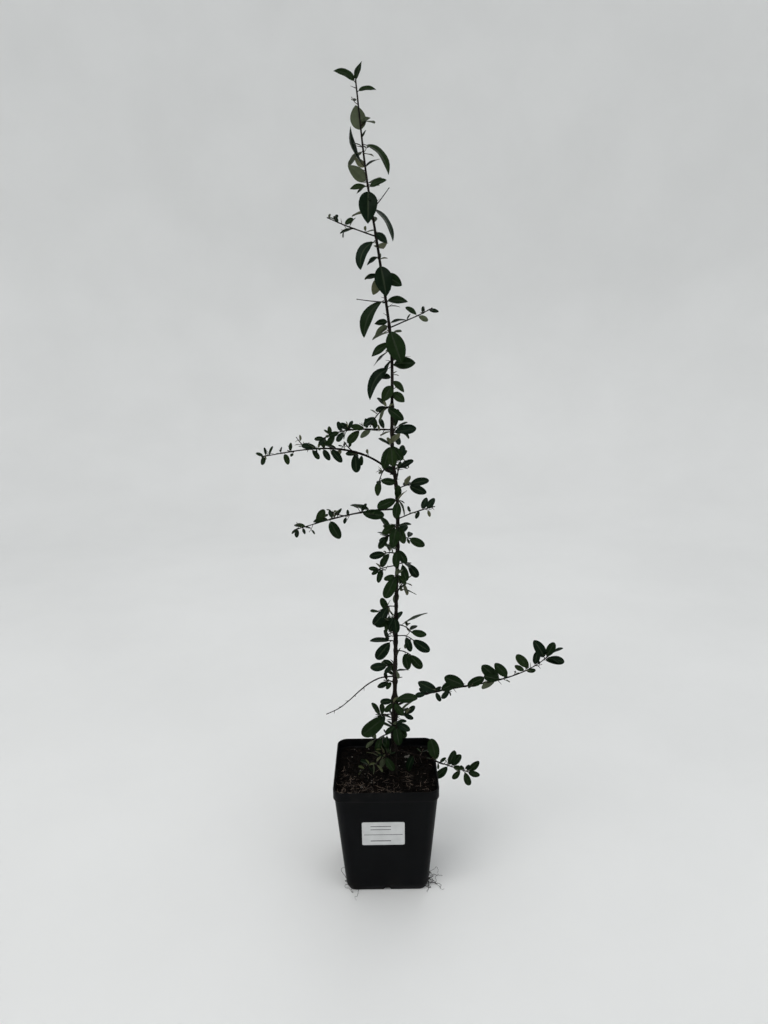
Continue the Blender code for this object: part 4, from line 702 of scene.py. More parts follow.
def ring_faces(rings, sides):
    """Faces between rings of vertices, and the flat ends."""
    faces = []
    for i in range(rings - 1):
        for k in range(sides):
            a, b = i * sides + k, i * sides + (k + 1) % sides
            faces.append((a, b, b + sides, a + sides))
    ends = tuple(reversed(range(sides))), tuple(range((rings - 1) * sides, rings * sides))
    return [*faces, *ends]


def bow_at(leaf, share):
    """How far a leaf's middle line bows out at a share of its length."""
    return leaf.bow * leaf.length * 4 * share * (1 - share)


def leaf_solid(leaf, grow=0.0, start=0.0):
    """Closed blade of a leaf, its root a small upright edge sunk in the twig."""
    across = leaf.normal.cross(leaf.direction)
    base = leaf.root + leaf.direction * leaf.length * start
    foot = base + bow_at(leaf, start)
    length = leaf.length * (1 - start) + grow
    half = leaf.width / 2 + grow
    thick = LEAF_THICKNESS / 2 + grow
    root_half = leaf.normal * (LEAF_ROOT_HEIGHT / 2 + grow)
    crown = leaf.normal * leaf.length * LEAF_CROWN
    middle = base + leaf.direction * length * 0.5 + bow_at(leaf, (1 + start) / 2) + crown
    near, far = [], []
    for share, width in LEAF_SHOULDERS if leaf.length > SMALL_LEAF else SMALL_LEAF_SHOULDERS:
        spot = base + leaf.direction * length * share + bow_at(leaf, start + (1 - start) * share)
        near.append(spot + across * half * width)
        far.append(spot - across * half * width)
    edge = [*near, base + leaf.direction * length - crown, *reversed(far)]
    verts = [foot + root_half, foot - root_half]
    verts += [middle + leaf.normal * thick, middle - leaf.normal * thick]
    first, last = len(verts), len(verts) + len(edge) - 1
    faces = [(0, first, 1), (1, last, 0), (2, first, 0), (3, 1, first), (2, 0, last), (3, last, 1)]
    for low in range(first, last):
        faces += [(2, low + 1, low), (3, low, low + 1)]
    return Solid(verts + edge, faces)


# Room for leaves


def grown_tree(solid):
    """Search tree of a solid's faces."""
    return BVHTree.FromPolygons(solid.verts, solid.faces, epsilon=0.0)


def place_solid(room, node, solid, blade=None):
    """Note a solid as taken space, with the part of it that its own node keeps clear of."""
    centre = sum(solid.verts, Vector()) / len(solid.verts)
    reach = max((vert - centre).length for vert in solid.verts)
    whole = grown_tree(solid)
    room.append(Placed(node, centre, reach, whole, grown_tree(blade) if blade else whole))


def is_free(room, node, leaf):
    """Whether a leaf clears the other nodes by the clearance, and its own node's blades."""
    body = leaf_solid(leaf, CLEARANCE)
    blade = leaf_solid(leaf, 0.0, BLADE_START)
    centre = leaf.root + leaf.direction * leaf.length / 2
    reach = leaf.length / 2 + leaf.width / 2
    body_tree, blade_tree = grown_tree(body), grown_tree(blade)
    for other in room:
        if (other.centre - centre).length > other.reach + reach:
            continue
        if other.node == node and other.blade.overlap(blade_tree):
            return False
        if other.node != node and other.whole.overlap(body_tree):
            return False
    return True


def is_clear(room, node, solid):
    """Whether a solid touches no other node's solids."""
    tree = grown_tree(solid)
    return not any(other.node != node and other.whole.overlap(tree) for other in room)


# Growth


def make_leaf(point, direction, facing, length, bow=Vector()):
    """A leaf on a twig's axis, its upper side turned as near to facing as it can be."""
    direction = direction.normalized()
    normal = facing - direction * facing.dot(direction)
    return Leaf(point, direction, normal.normalized(), length * CM, length * CM * LEAF_WIDTH, bow)


def shown_leaf(shown, point, jitter=0.0):
    """A leaf given by how it shows in the front view."""
    flat = math.sqrt(1 - shown.lean ** 2)
    angle = math.radians(shown.angle + jitter)
    direction = Vector((flat * math.cos(angle), -shown.lean, flat * math.sin(angle)))
    up_part = (UP - direction * UP.dot(direction)).normalized() if abs(direction.z) < UPRIGHT else FRONT
    front_part = (FRONT - direction * FRONT.dot(direction)).normalized()
    turn = abs(shown.face)
    facing = up_part * (1 - turn) + front_part * math.copysign(turn, shown.face)
    bow = Vector((-math.sin(angle), 0.0, math.cos(angle))) * shown.bow
    return make_leaf(point, direction, facing, shown.length, bow)


def seeded_leaf(rng, point, run, turn, length, hang):
    """A leaf that leaves its twig at a seeded angle, round the twig by a turn."""
    across = BACK - run * BACK.dot(run) if hang else run.orthogonal()
    side = Matrix.Rotation(turn, 3, run) @ across.normalized()
    lift = rng.uniform(*(LEAF_HANG if hang else LEAF_LIFT))
    direction = run * rng.uniform(*LEAF_FORWARD) + side + UP * lift
    tilt = Vector((rng.uniform(-LEAF_TILT, LEAF_TILT), rng.uniform(-LEAF_TILT, LEAF_TILT), 0.0))
    return make_leaf(point, direction, UP + side * LEAF_TILT / 2 + tilt, length)


def spaced_root(spot, leaves):
    """A place on a twig moved back a little, so that no two leaves share one root."""
    point, run = spot
    return point - run * ROOT_STEP * (len(leaves) % 4), run


def keep_leaf(room, mass, leaf):
    """Keep a leaf on its mass if it has room, and say whether it had."""
    if not is_free(room, mass.node, leaf):
        return False
    mass.leaves.append(leaf)
    place_solid(room, mass.node, leaf_solid(leaf), leaf_solid(leaf, 0.0, BLADE_START))
    return True


def add_seeded(room, mass, spot, turn, length, hang):
    """Try a few seeded angles and keep the first leaf that has room."""
    point, run = spaced_root(spot, mass.leaves)
    for attempt in range(TRIES):
        swing = turn + mass.rng.uniform(-LEAF_SWING, LEAF_SWING) * (1 + attempt)
        size = length * (1 - TRY_SHRINK * attempt)
        if keep_leaf(room, mass, seeded_leaf(mass.rng, point, run, swing, size, hang)):
            return


def add_buds(room, mass, path, buds, leaf_length, small, first, hang=False):
    """Buds along a path by the golden turn, each with one leaf and some smaller ones."""
    rng = mass.rng
    turn = rng.uniform(0, 2 * math.pi)
    for bud in range(buds):
        share = first + (1 - first) * (bud + 1) / buds
        turn = (LEADER_TURN if bud % 2 else -LEADER_TURN) if hang else turn + GOLDEN_TURN
        size = leaf_length * rng.uniform(*LEAF_SPREAD)
        add_seeded(room, mass, along(path, share), turn, size, hang)
        for k in range(small):
            swing = turn + SMALL_SWING * (1 if k % 2 else -1) * (1 + k // 2)
            near = along(path, share - BUD_STEP * (k + 1) / (path[-1] - path[0]).length)
            add_seeded(room, mass, near, swing, leaf_length * rng.uniform(*SMALL_SPREAD), hang)


def side_twigs(rng, path, count):
    """Seeded side twigs along a path, leaving it at an open angle."""
    twigs = []
    for index in range(count):
        point, run = along(path, (index + 1) / (count + 1))
        side = run.cross(UP).normalized() * (1 if index % 2 else -1)
        direction = run * SIDE_TWIG_FORWARD + side * rng.uniform(*SIDE_TWIG_SPREAD)
        direction = (direction + UP * rng.uniform(*SIDE_TWIG_LIFT)).normalized()
        length = rng.uniform(*SIDE_TWIG_LENGTH) * CM
        middle = point + direction * length / 2
        bend = (direction + UP * SIDE_TWIG_BEND).normalized()
        twigs.append([point, middle, middle + bend * length / 2])
    return twigs


def start_masses():
    """Every mass by its node, with its path and side twigs and no leaves yet."""
    path = stem_path(TRUNK_TOP, LEADER_TOP, LEADER_STEP)
    path[0] += UP * GAP
    twigs = []
    for height, azimuth, slope, length, _ in LEADER_TWIGS:
        slopes = (slope, slope * TWIG_EASE, slope + TWIG_RISE)
        twigs.append(arc_path(stem_point(height), azimuth, slopes, length, TWIG_STEP))
    masses = {"leader": Mass("leader", random.Random(SHOOT_SEED), path, twigs, [])}
    for index, (name, shoot) in enumerate(SHOOTS.items()):
        rng = random.Random(SHOOT_SEED + 1 + index)
        path = shoot_path(shoot, TWIG_RADIUS * CM)
        masses[name] = Mass(name, rng, path, side_twigs(rng, path, shoot.twigs), [])
    return masses


def mass_stem(name, path):
    """Path and radii of the stem inside a mass, beyond its bare bough."""
    if name == "leader":
        return path, [read_table(STEM_RADIUS, point.z / CM) * CM for point in path]
    shoot = SHOOTS[name]
    if shoot.bough:
        cut = max(1, round(shoot.bough / shoot.length * (len(path) - 1)))
        path = [path[cut] + (path[cut + 1] - path[cut]).normalized() * GAP, *path[cut + 1:]]
    return path, taper(len(path), TWIG_RADIUS + STEM_GROWTH * shoot.length, TWIG_TIP_RADIUS)


def add_shown(room, mass):
    """The leaves of a mass that show, each turned a little where it has no room."""
    for row in SHOWN_LEAVES.get(mass.node, ()):
        shown = Shown(*row)
        spot = (stem_point(shown.place), UP) if mass.node == "leader" else along(mass.path, shown.place)
        root = spaced_root(spot, mass.leaves)[0]
        any(keep_leaf(room, mass, shown_leaf(shown, root, jitter)) for jitter in JITTERS)


def add_hidden(room, mass):
    """The seeded leaves of a mass."""
    if mass.node == "leader":
        path = stem_path(LEADER_BUD_FOOT, LEADER_BUD_TOP, LEADER_STEP)
        add_buds(room, mass, path, LEADER_BUDS, LEADER_LEAF, 1, 0.0, True)
        for twig, spec in zip(mass.twigs, LEADER_TWIGS):
            add_buds(room, mass, twig, spec[4], LEADER_TWIG_LEAF, 1, FIRST_BUD)
        return
    shoot = SHOOTS[mass.node]
    first = shoot.bough / shoot.length + SHOOT_BARE
    add_buds(room, mass, mass.path, shoot.buds, shoot.leaf, shoot.small, first)
    for twig in mass.twigs:
        add_buds(room, mass, twig, SIDE_TWIG_BUDS, shoot.leaf * SIDE_TWIG_LEAF, 0, FIRST_BUD)


def places_round(rng, path, first, step, jitter):
    """Places along a path by the golden turn: point, direction and the way out to the side."""
    count = int((path[-1] - path[0]).length / CM / step)
    turn = rng.uniform(0, 2 * math.pi)
    for index in range(count):
        place = index + (rng.random() if jitter else 0.5)
        point, run = along(path, first + (1 - first) * place / count)
        turn += GOLDEN_TURN
        yield point, run, Matrix.Rotation(turn, 3, run) @ run.orthogonal().normalized()


def spurs(room, mass, first):
    """Short spurs along a mass, between its buds, each with a few small leaves."""
    step = LEADER_SPUR_STEP if mass.node == "leader" else SPUR_STEP
    twigs = []
    for point, run, side in places_round(mass.rng, mass.path, first, step, False):
        direction = (run * SPUR_FORWARD + side + UP * SPUR_LIFT).normalized()
        reach = mass.rng.uniform(*SPUR_LENGTH) * CM
        tip = point + (direction + UP * SPUR_LIFT).normalized() * reach
        twig = [point, point + direction * reach / 2, tip]
        if is_clear(room, mass.node, tube(twig, taper(3, SPUR_RADIUS, SPUR_TIP_RADIUS), TWIG_SIDES)):
            twigs.append(twig)
            add_buds(room, mass, twig, SPUR_BUDS, SPUR_LEAF, 0, SPUR_BARE)
    return twigs


def thorns(room, mass, first):
    """Thorns along a mass: straight spikes that leave it at an open angle."""
    spikes = []
    for point, run, side in places_round(mass.rng, mass.path, first, THORN_STEP, True):
        direction = (run * THORN_FORWARD + side).normalized()
        spike = [point, point + direction * mass.rng.uniform(*THORN_LENGTH) * CM]
        if is_clear(room, mass.node, tube(spike, taper(2, THORN_RADIUS, THORN_TIP_RADIUS), TWIG_SIDES)):
            spikes.append(spike)
    return spikes


def grow_finer(masses, room):
    """Spurs and thorns of every mass: ({node: spurs}, {node: thorns})."""
    fine, spikes = {}, {}
    for index, (name, mass) in enumerate(masses.items()):
        finer = mass._replace(rng=random.Random(FINE_SEED + index))
        shoot = SHOOTS.get(name)
        first = shoot.bough / shoot.length if shoot else 0.0
        fine[name] = spurs(room, finer, first)
        spikes[name] = thorns(room, finer, first)
    for height, angle, length in LEADER_THORNS:
        foot = stem_point(height)
        spikes["leader"].append([foot, foot + heading(0, angle) * length * CM])
    return fine, spikes


def grow():
    """Grow the plant as the solids did, and then finer: masses, spurs and thorns."""
    room = []
    for name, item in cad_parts.items():
        if name not in SHOOTS and name != "leader":
            faces = [tuple(face.vertices) for face in item.data.polygons]
            place_solid(room, name, Solid([vert.co.copy() for vert in item.data.vertices], faces))
    masses = start_masses()
    for name, mass in masses.items():
        sides = BOUGH_SIDES if name == "leader" else TWIG_SIDES
        place_solid(room, name, tube(*mass_stem(name, mass.path), sides))
        for twig in mass.twigs:
            radii = taper(len(twig), TWIG_RADIUS, TWIG_TIP_RADIUS)
            place_solid(room, name, tube(twig, radii, TWIG_SIDES))
    for add_leaves in (add_shown, add_hidden):
        for mass in masses.values():
            add_leaves(room, mass)
    return masses, *grow_finer(masses, room)


# Meshes of pieces


class Surface:
    """Vertices and faces of one piece while it is made, each face with a material number."""

    def __init__(self):
        self.verts, self.faces, self.tints = [], [], []

    def add(self, solid, tint=0):
        """Add a solid whose faces all have one material number, or one each in a list."""
        base = len(self.verts)
        self.verts += solid.verts
        self.faces += [tuple(base + corner for corner in face) for face in solid.faces]
        self.tints += tint if isinstance(tint, list) else [tint] * len(solid.faces)

    def piece(self, name, looks, slot, replaced=(), sharp=80):
        """Turn what was added into an object of the part."""
        mesh = bpy.data.meshes.new(name)
        mesh.from_pydata(self.verts, [], self.faces)
        return finished(name, mesh, looks, replaced, sharp, self.tints)


def finished(name, mesh, looks, replaced, sharp, tints=()):
    """A smooth object of the part from a mesh, with its materials and replaced nodes."""
    for look in looks:
        mesh.materials.append(materials[look])
    if tints:
        mesh.polygons.foreach_set("material_index", tints)
    mesh.validate()
    mesh.shade_smooth()
    mesh.set_sharp_from_angle(angle=math.radians(sharp))
    item = bpy.data.objects.new(name, mesh)
    bpy.context.scene.collection.objects.link(item)
    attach(item, "root")
    if replaced:
        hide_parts(*replaced)
    return item


def bark_relief(strength):
    """How far bark stands out, as a share of the radius: ridges, lumps and pores."""
    def relief(spot, outward):
        flat = Vector((outward.x, outward.y, 0.0))
        ridges = noise.noise(flat * RIDGES[0] + UP * spot.z * RIDGES[1])
        lumps = noise.noise(spot * LUMPS[0] + flat)
        pores = max(0.0, noise.noise(flat * PORES[0] + UP * spot.z * PORES[1]) - PORE_LEVEL)
        return strength * (ridges * RIDGES[2] + lumps * LUMPS[1] + pores * PORES[2])
    return relief


def curl_strand(rng, start, direction, length, curl, steps):
    """A line that wanders as a root or a fibre does."""
    points = [start]
    direction = direction.normalized()
    for _ in range(steps):
        swing = Vector([rng.uniform(-curl, curl) for _ in range(3)])
        direction = (direction + swing).normalized()
        points.append(points[-1] + direction * length / steps)
    return points


def shaped(shape, scale=1.0):
    """Radii of a shape's rows, each (share of the length, radius or share of one)."""
    return [size * scale for _, size in shape]


# Leaves


def blade_lift(share):
    """Height of a blade's middle line over its length: up at first, then down to the tip."""
    return 5 * LEAF_CROWN * share - 6 * LEAF_CROWN * share ** 2


def blade(leaf, rng, slim):
    """Points of a thin closed blade with a fold, a rib and a slight wave: rings, then its tip."""
    count = BLADE_STATIONS[leaf.length <= SMALL_LEAF]
    across = leaf.normal.cross(leaf.direction)
    foot_power, tip_power = rng.choice(LEADER_SHAPES if slim else BLADE_SHAPES)
    peak = foot_power / (foot_power + tip_power)
    full = peak ** foot_power * (1 - peak) ** tip_power
    half = leaf.width / 2 * rng.uniform(*BLADE_SPREAD)
    if slim:
        half *= BOWED_WIDTH if leaf.bow.length else LEADER_WIDTH
    fold, wave = rng.uniform(*BLADE_FOLD), rng.uniform(*BLADE_WAVE)
    twist, phase = rng.uniform(-BLADE_TWIST, BLADE_TWIST), rng.uniform(0, 2 * math.pi)
    bend, sag = rng.uniform(-BLADE_BEND, BLADE_BEND), rng.uniform(*BLADE_SAG)
    verts = []
    for k in range(1, count):
        t = 0.5 - 0.5 * math.cos(math.pi * k / count)
        share = PETIOLE + (1 - PETIOLE) * t
        reach = max(half * t ** foot_power * (1 - t) ** tip_power / full, PETIOLE_RADII[1])
        middle = leaf.root + leaf.direction * leaf.length * share + bow_at(leaf, share)
        middle += leaf.normal * leaf.length * blade_lift(share) * sag
        middle += across * leaf.length * bend * t ** 2
        run = (leaf.direction + leaf.bow * 4 * (1 - 2 * share)).normalized()
        side = Matrix.Rotation(twist * t, 3, leaf.direction) @ across
        side = (side - run * side.dot(run)).normalized()
        rise = run.cross(side)
        upper, lower = [], []
        for u in BLADE_COLUMNS:
            lift = fold * abs(u) * (1 - FOLD_EASE * u * u)
            lift += wave * u * u * math.sin(phase + BLADE_WAVES * t + (math.pi if u < 0 else 0))
            place = middle + side * u * reach + rise * lift * reach
            rib = 0 if u else RIB_RISE * (1 - t)
            thick = BLADE_THICKNESS * (1 - 0.5 * t) * (1 - u * u)
            upper.append(place - rise * rib / 2)
            lower.append(place - rise * (thick + rib))
        verts += upper + lower[1:-1]
    tip = leaf.root + leaf.direction * leaf.length
    tip += leaf.normal * leaf.length * blade_lift(1) * sag + across * leaf.length * bend
    return [*verts, tip]


def blade_faces(count, tints):
    """Faces between a blade's rings and up to its tip, and their material numbers."""
    top, rib, under = tints
    width = len(BLADE_COLUMNS)
    ring = 2 * width - 2
    lower = [0, *range(width, ring), width - 1]
    last, tip = (count - 2) * ring, (count - 1) * ring
    faces, marks = [], []
    for low in range(0, last, ring):
        high = low + ring
        for c in range(width - 1):
            a, b = lower[c], lower[c + 1]
            faces += [(low + c, low + c + 1, high + c + 1), (low + c, high + c + 1, high + c)]
            faces += [(low + b, low + a, high + b), (low + a, high + a, high + b)]
            upper = top if BLADE_COLUMNS[c] and BLADE_COLUMNS[c + 1] else rib
            marks += [upper, upper, under, under]
    for c in range(width - 1):
        faces += [(last + c, last + c + 1, tip), (last + lower[c + 1], last + lower[c], tip)]
        marks += [top, under]
    faces.append((*range(width - 1, -1, -1), *range(width, ring)))
    return faces, [*marks, under]


def petiole(leaf):
    """Stalk of a leaf, from inside its twig to inside its blade."""
    points = []
    for share in PETIOLE_SHARES:
        lift = leaf.length * blade_lift(share) - BLADE_THICKNESS * PETIOLE_SINK
        along_leaf = leaf.direction * leaf.length * share
        points.append(leaf.root + along_leaf + bow_at(leaf, share) + leaf.normal * lift)
    thick = min(1.0, leaf.length / FULL_LEAF) ** 0.5
    foot, tip = PETIOLE_RADII
    radii = [(foot + (tip - foot) * i / 3) * thick for i in range(4)]
    radii[-1] *= PETIOLE_TIP
    return tube(points, radii, PETIOLE_SIDES)


def leaf_tints(rng, name, index, leaf):
    """Material numbers of a leaf's top, rib and underside: darker sprays, a few young ones."""
    if name in YOUNG_MASSES and leaf.length < YOUNG_LENGTH and index % 3 != 1:
        return YOUNG_TINTS
    spray = (sum(map(ord, name)) + index // SPRAY_LEAVES) % TOP_TINTS
    top = spray if rng.random() < SPRAY_SHARE else rng.randrange(TOP_TINTS)
    return top, RIB, UNDER + rng.randrange(UNDER_TINTS)


def make_leaves(masses):
    """Three pieces of leaves by height, and one of their stalks."""
    rng = random.Random(FINE_SEED)
    stalks = Surface()
    for title, names in mass_groups(masses).items():
        surface = Surface()
        for name in names:
            for index, leaf in enumerate(masses[name].leaves):
                tints = leaf_tints(rng, name, index, leaf)
                verts = blade(leaf, rng, name == "leader")
                faces, marks = blade_faces(BLADE_STATIONS[leaf.length <= SMALL_LEAF], tints)
                surface.add(Solid(verts, faces), marks)
                stalks.add(petiole(leaf))
        surface.piece(title, LEAF_LOOKS, "foliage", names, sharp=70)
    stalks.piece("leaf_stalks", ["leaf_stalk"], "foliage", sharp=48)


def mass_groups(masses):
    """Masses by the height of their foot."""
    groups = {title: [] for title, _ in LEAF_GROUPS}
    for name in masses:
        height = TRUNK_TOP if name == "leader" else SHOOTS[name].height
        title = next(title for title, foot in LEAF_GROUPS if height > foot)
        groups[title].append(name)
    return groups


# Limbs


def stem_radius(height):
    """Radius of the main stem in metres, its table smoothed, with a swelling at each shoot."""
    radius = sum(read_table(STEM_RADIUS, height + shift) for shift in (-NODE_REACH, 0.0, NODE_REACH)) / 3
    for shoot in SHOOTS.values():
        near = math.exp(-((height - shoot.height) / NODE_REACH) ** 2)
        radius += NODE_SWELL * near * min(1, radius * 5)
    return radius * CM


def make_stem(foot, top, name, replaced, rough):
    """A length of the main stem with its bark in relief."""
    count = round((top - foot) * CM / TRUNK_RING)
    heights = [foot + (top - foot) * i / count for i in range(count + 1)]
    points = [stem_point(height) for height in heights]
    radii = [stem_radius(height) for height in heights]
    if top == LEADER_TOP:
        points.append(points[-1] + UP * BUD_LENGTH)
        radii.append(radii[-1] * STEM_TIP)
    surface = Surface()
    surface.add(tube(points, radii, TRUNK_SIDES, bark_relief(rough)))
    if foot < FLARE_TOP:
        add_knuckle(surface)
        add_root_flare(surface)
    return surface.piece(name, ["bark"], "bark", replaced, sharp=60)


def add_knuckle(surface):
    """The old cut: a short stub that stands off the swelling, its end flat."""
    foot = stem_point(KNUCKLE[1] - STUB_DROP)
    points = [foot + heading(*STUB_WAY) * CM * reach for reach, _ in STUB_SHAPE]
    surface.add(tube(points, shaped(STUB_SHAPE, CM), STUB_SIDES, bark_relief(STUB_ROUGH)))


def add_root_flare(surface):
    """Low buttresses where the roots leave the stem, ending in the soil."""
    foot = stem_point(SOIL_TOP / CM)
    for azimuth, length in BUTTRESSES:
        points = []
        for share, _ in BUTTRESS_SHAPE:
            drop = BUTTRESS_RISE * (1 - share) ** 2 - BUTTRESS_DIVE * share
            reach = BUTTRESS_START + length * share
            points.append(foot + heading(azimuth, 0) * reach * CM + UP * drop * CM)
        surface.add(tube(points, shaped(BUTTRESS_SHAPE, CM), BUTTRESS_SIDES, bark_relief(TRUNK_ROUGH)))


def shoot_line(shoot, path):
    """A shoot's smooth line from inside the main stem to its tip, with a radius at each point."""
    line = smooth_path([stem_point(shoot.height), *path], SMOOTH_STEP)
    foot = TWIG_RADIUS + STEM_GROWTH * shoot.length + (BOUGH_EXTRA if shoot.bough else 0.0)
    return line, taper(len(line), foot, TWIG_TIP_RADIUS)


def budded(line, radii):
    """A limb's line and radii with a small bud at its tip."""
    run = (line[-1] - line[-2]).normalized()
    bud = [line[-1] + run * BUD_LENGTH * share for share, _ in BUD_SHAPE]
    return line + bud, radii + shaped(BUD_SHAPE, radii[-1])


def swollen(line, radii, leaves):
    """Radii with a slight swelling at each leaf's foot."""
    wide = []
    for point, radius in zip(line, radii):
        near = min(((leaf.root - point).length for leaf in leaves), default=1.0)
        wide.append(radius * (1 + FOOT_SWELL * math.exp(-(near / FOOT_REACH) ** 2)))
    return wide


def make_limbs(masses, fine, spikes):
    """Boughs, the shoots and their twigs, the bare twig, and the thorns."""
    limbs, boughs, points = Surface(), Surface(), Surface()
    relief = bark_relief(TWIG_ROUGH)
    for name, mass in masses.items():
        if name != "leader":
            line, radii = shoot_line(SHOOTS[name], mass.path)
            cut = round(SHOOTS[name].bough * CM / SMOOTH_STEP)
            if cut:
                boughs.add(tube(line[:cut + 1], radii[:cut + 1], LIMB_SIDES + 4, relief))
            line, radii = budded(line[cut:], radii[cut:])
            limbs.add(tube(line, swollen(line, radii, mass.leaves), LIMB_SIDES, relief))
        for twig in mass.twigs:
            line = smooth_path(twig, SMOOTH_STEP)
            line, radii = budded(line, taper(len(line), TWIG_RADIUS, TWIG_TIP_RADIUS * FINE_TIP))
            limbs.add(tube(line, swollen(line, radii, mass.leaves), LIMB_SIDES - 2, relief))
        for twig in fine[name]:
            line = smooth_path(twig, SMOOTH_STEP / 2)
            line, radii = budded(line, taper(len(line), SPUR_RADIUS, SPUR_TIP_RADIUS))
            limbs.add(tube(line, radii, LIMB_SIDES - 2), 1)
        for foot, tip in spikes[name]:
            points.add(thorn(foot, tip))
    limbs.piece("twigs", ["twig", "young_twig"], "bark", list(masses), sharp=48)
    boughs.piece("boughs_bark", ["bark"], "bark", [f"bough_{name}" for name in BOUGHS], sharp=48)
    make_bare_twig()
    points.piece("thorns", ["thorn"], "bark", sharp=48)


def make_bare_twig():
    """The leafless twig, with its own thorns."""
    bare = Surface()
    path = shoot_path(BARE_TWIG, TWIG_RADIUS * CM)
    bare.add(tube(*budded(*shoot_line(BARE_TWIG, path)), LIMB_SIDES, bark_relief(TWIG_ROUGH)))
    rng = random.Random(FINE_SEED - 1)
    for share in BARE_THORNS:
        foot, run = along(path, share)
        swing = Matrix.Rotation(rng.uniform(*BARE_THORN_SWING), 3, run)
        side = swing @ FRONT.cross(run) * rng.choice((-1, 1))
        way = (run * BARE_THORN_FORWARD + side).normalized()
        bare.add(thorn(foot, foot + way * rng.uniform(*BARE_THORN_LENGTH) * CM))
    bare.piece("bare_twig_bark", ["twig"], "bark", ["bare_twig"], sharp=48)


def thorn(foot, tip):
    """A spike with a stout foot and a sharp, slightly bent end."""
    reach = tip - foot
    bend = UP * reach.length * THORN_BEND
    points = [foot + reach * share + bend * share ** 2 for share, _ in THORN_SHAPE]
    return tube(points, shaped(THORN_SHAPE, THORN_RADIUS * CM), THORN_SIDES)


# Pot


def pot_half(height):
    """Half width of the pot's body outside, below its collar."""
    share = height / (POT_HEIGHT - COLLAR_HEIGHT)
    half = (FOOT_WIDTH + (RIM_WIDTH - 2 * COLLAR_STEP - FOOT_WIDTH) * share) / 2
    if height < FOOT_ROUND:
        half -= FOOT_INSET * (1 - height / FOOT_ROUND) ** 2
    return half


def rounded_square(half, height):
    """Points of a square with round corners, anticlockwise, its sides in short steps."""
    corner = CORNER_RADIUS * half * 2 / RIM_WIDTH
    points = []
    for quarter, (x, y) in enumerate(((1, 1), (-1, 1), (-1, -1), (1, -1))):
        centre = Vector((x, y, 0.0)) * (half - corner)
        for k in range(CORNER_STEPS + 1):
            outward = heading(90 * (quarter + k / CORNER_STEPS), 0)
            points.append(centre + outward * corner + UP * height)
        last = points[-1]
        step = heading(90 * (quarter + 2), 0) * (half - corner) * 2 / SIDE_STEPS
        points += [last + step * (k + 1) for k in range(SIDE_STEPS - 1)]
    return points


def loft(rings):
    """Closed solid through rings of equal counts, with flat ends."""
    return Solid([point for ring in rings for point in ring], ring_faces(len(rings), len(rings[0])))


def pot_profile():
    """(height, half width) from the foot's edge up the outside, over the rim and down inside."""
    collar = POT_HEIGHT - COLLAR_HEIGHT
    foot = [FOOT_EDGE, *(FOOT_ROUND * k / 7 for k in range(1, 8))]
    wall = [FOOT_ROUND + (collar - FOOT_ROUND) * k / 14 for k in range(1, 15)]
    outer = [(0.0, pot_half(0.0) - FOOT_BEVEL), *((z, pot_half(z)) for z in foot + wall)]
    rim, bead = RIM_WIDTH / 2, WALL / 2
    body = pot_half(collar)
    outer += [(collar + COLLAR_STEP * rise, body + COLLAR_STEP * out) for rise, out in COLLAR_CURVE]
    outer += [(collar + COLLAR_HEIGHT * share, rim) for share in COLLAR_RINGS]
    for k in range(7):
        angle = math.pi * k / 6
        outer.append((POT_HEIGHT - bead + bead * math.sin(angle), rim - bead + bead * math.cos(angle)))
    top, low = (collar + COLLAR_STEP * share for share in COLLAR_INSIDE)
    inner = [(top, rim - WALL), (low, body - WALL)]
    return outer + inner + [(z, pot_half(z) - WALL) for z in INSIDE_RINGS]


def make_pot():
    """Pot with its collar, round rim, arched notches and drain holes."""
    shell = loft([rounded_square(half, height) for height, half in pot_profile()])
    cutters = Surface()
    for quarter in range(4):
        outward = heading(90 * quarter, 0)
        side = Vector((-outward.y, outward.x, 0.0))
        notch = outward * (FOOT_WIDTH / 2 - NOTCH_DEPTH / 4) + UP * NOTCH_LIFT
        drain = (outward + side) * DRAIN_SPACING / 2
        for place, half, radius in ((notch, outward * NOTCH_DEPTH / 2, NOTCH_RADIUS),
                                    (drain, UP * FLOOR * 2, DRAIN_RADIUS)):
            cutters.add(tube([place - half, place + half], [radius] * 2, CUTTER_SIDES))
    base, cutter = plain_object("pot_blank", shell), plain_object("pot_cutter", cutters)
    modifier = base.modifiers.new("holes", "BOOLEAN")
    modifier.operation = "DIFFERENCE"
    modifier.object = cutter
    bpy.context.view_layer.update()
    mesh = bpy.data.meshes.new_from_object(base.evaluated_get(bpy.context.evaluated_depsgraph_get()))
    for item in (base, cutter):
        bpy.data.objects.remove(item, do_unlink=True)
    finished("pot_shell", mesh, ["pot_plastic"], ["pot"], 32)


def plain_object(name, solid):
    """A bare object of a solid, for cutting with."""
    mesh = bpy.data.meshes.new(name)
    mesh.from_pydata(solid.verts, [], solid.faces)
    item = bpy.data.objects.new(name, mesh)
    bpy.context.scene.collection.objects.link(item)
    return item


def rounded(x, y, half_x, half_y, corner):
    """Move a point of a rectangle's grid so that the rectangle's corners are round."""
    over_x, over_y = abs(x) - (half_x - corner), abs(y) - (half_y - corner)
    if over_x > 0 and over_y > 0:
        a, b = over_x / corner, over_y / corner
        x = math.copysign(half_x - corner + corner * a * math.sqrt(1 - b * b / 2), x)
        y = math.copysign(half_y - corner + corner * b * math.sqrt(1 - a * a / 2), y)
    return x, y


def grid_faces(columns, rows):
    """Faces of a grid of vertices, row by row, and its border in order."""
    faces = [(r * columns + c, r * columns + c + 1, (r + 1) * columns + c + 1, (r + 1) * columns + c)
             for r in range(rows - 1) for c in range(columns - 1)]
    border = list(range(columns)) + [r * columns + columns - 1 for r in range(1, rows)]
    border += [(rows - 1) * columns + c for c in range(columns - 2, -1, -1)]
    border += [r * columns for r in range(rows - 2, 0, -1)]
    return faces, border


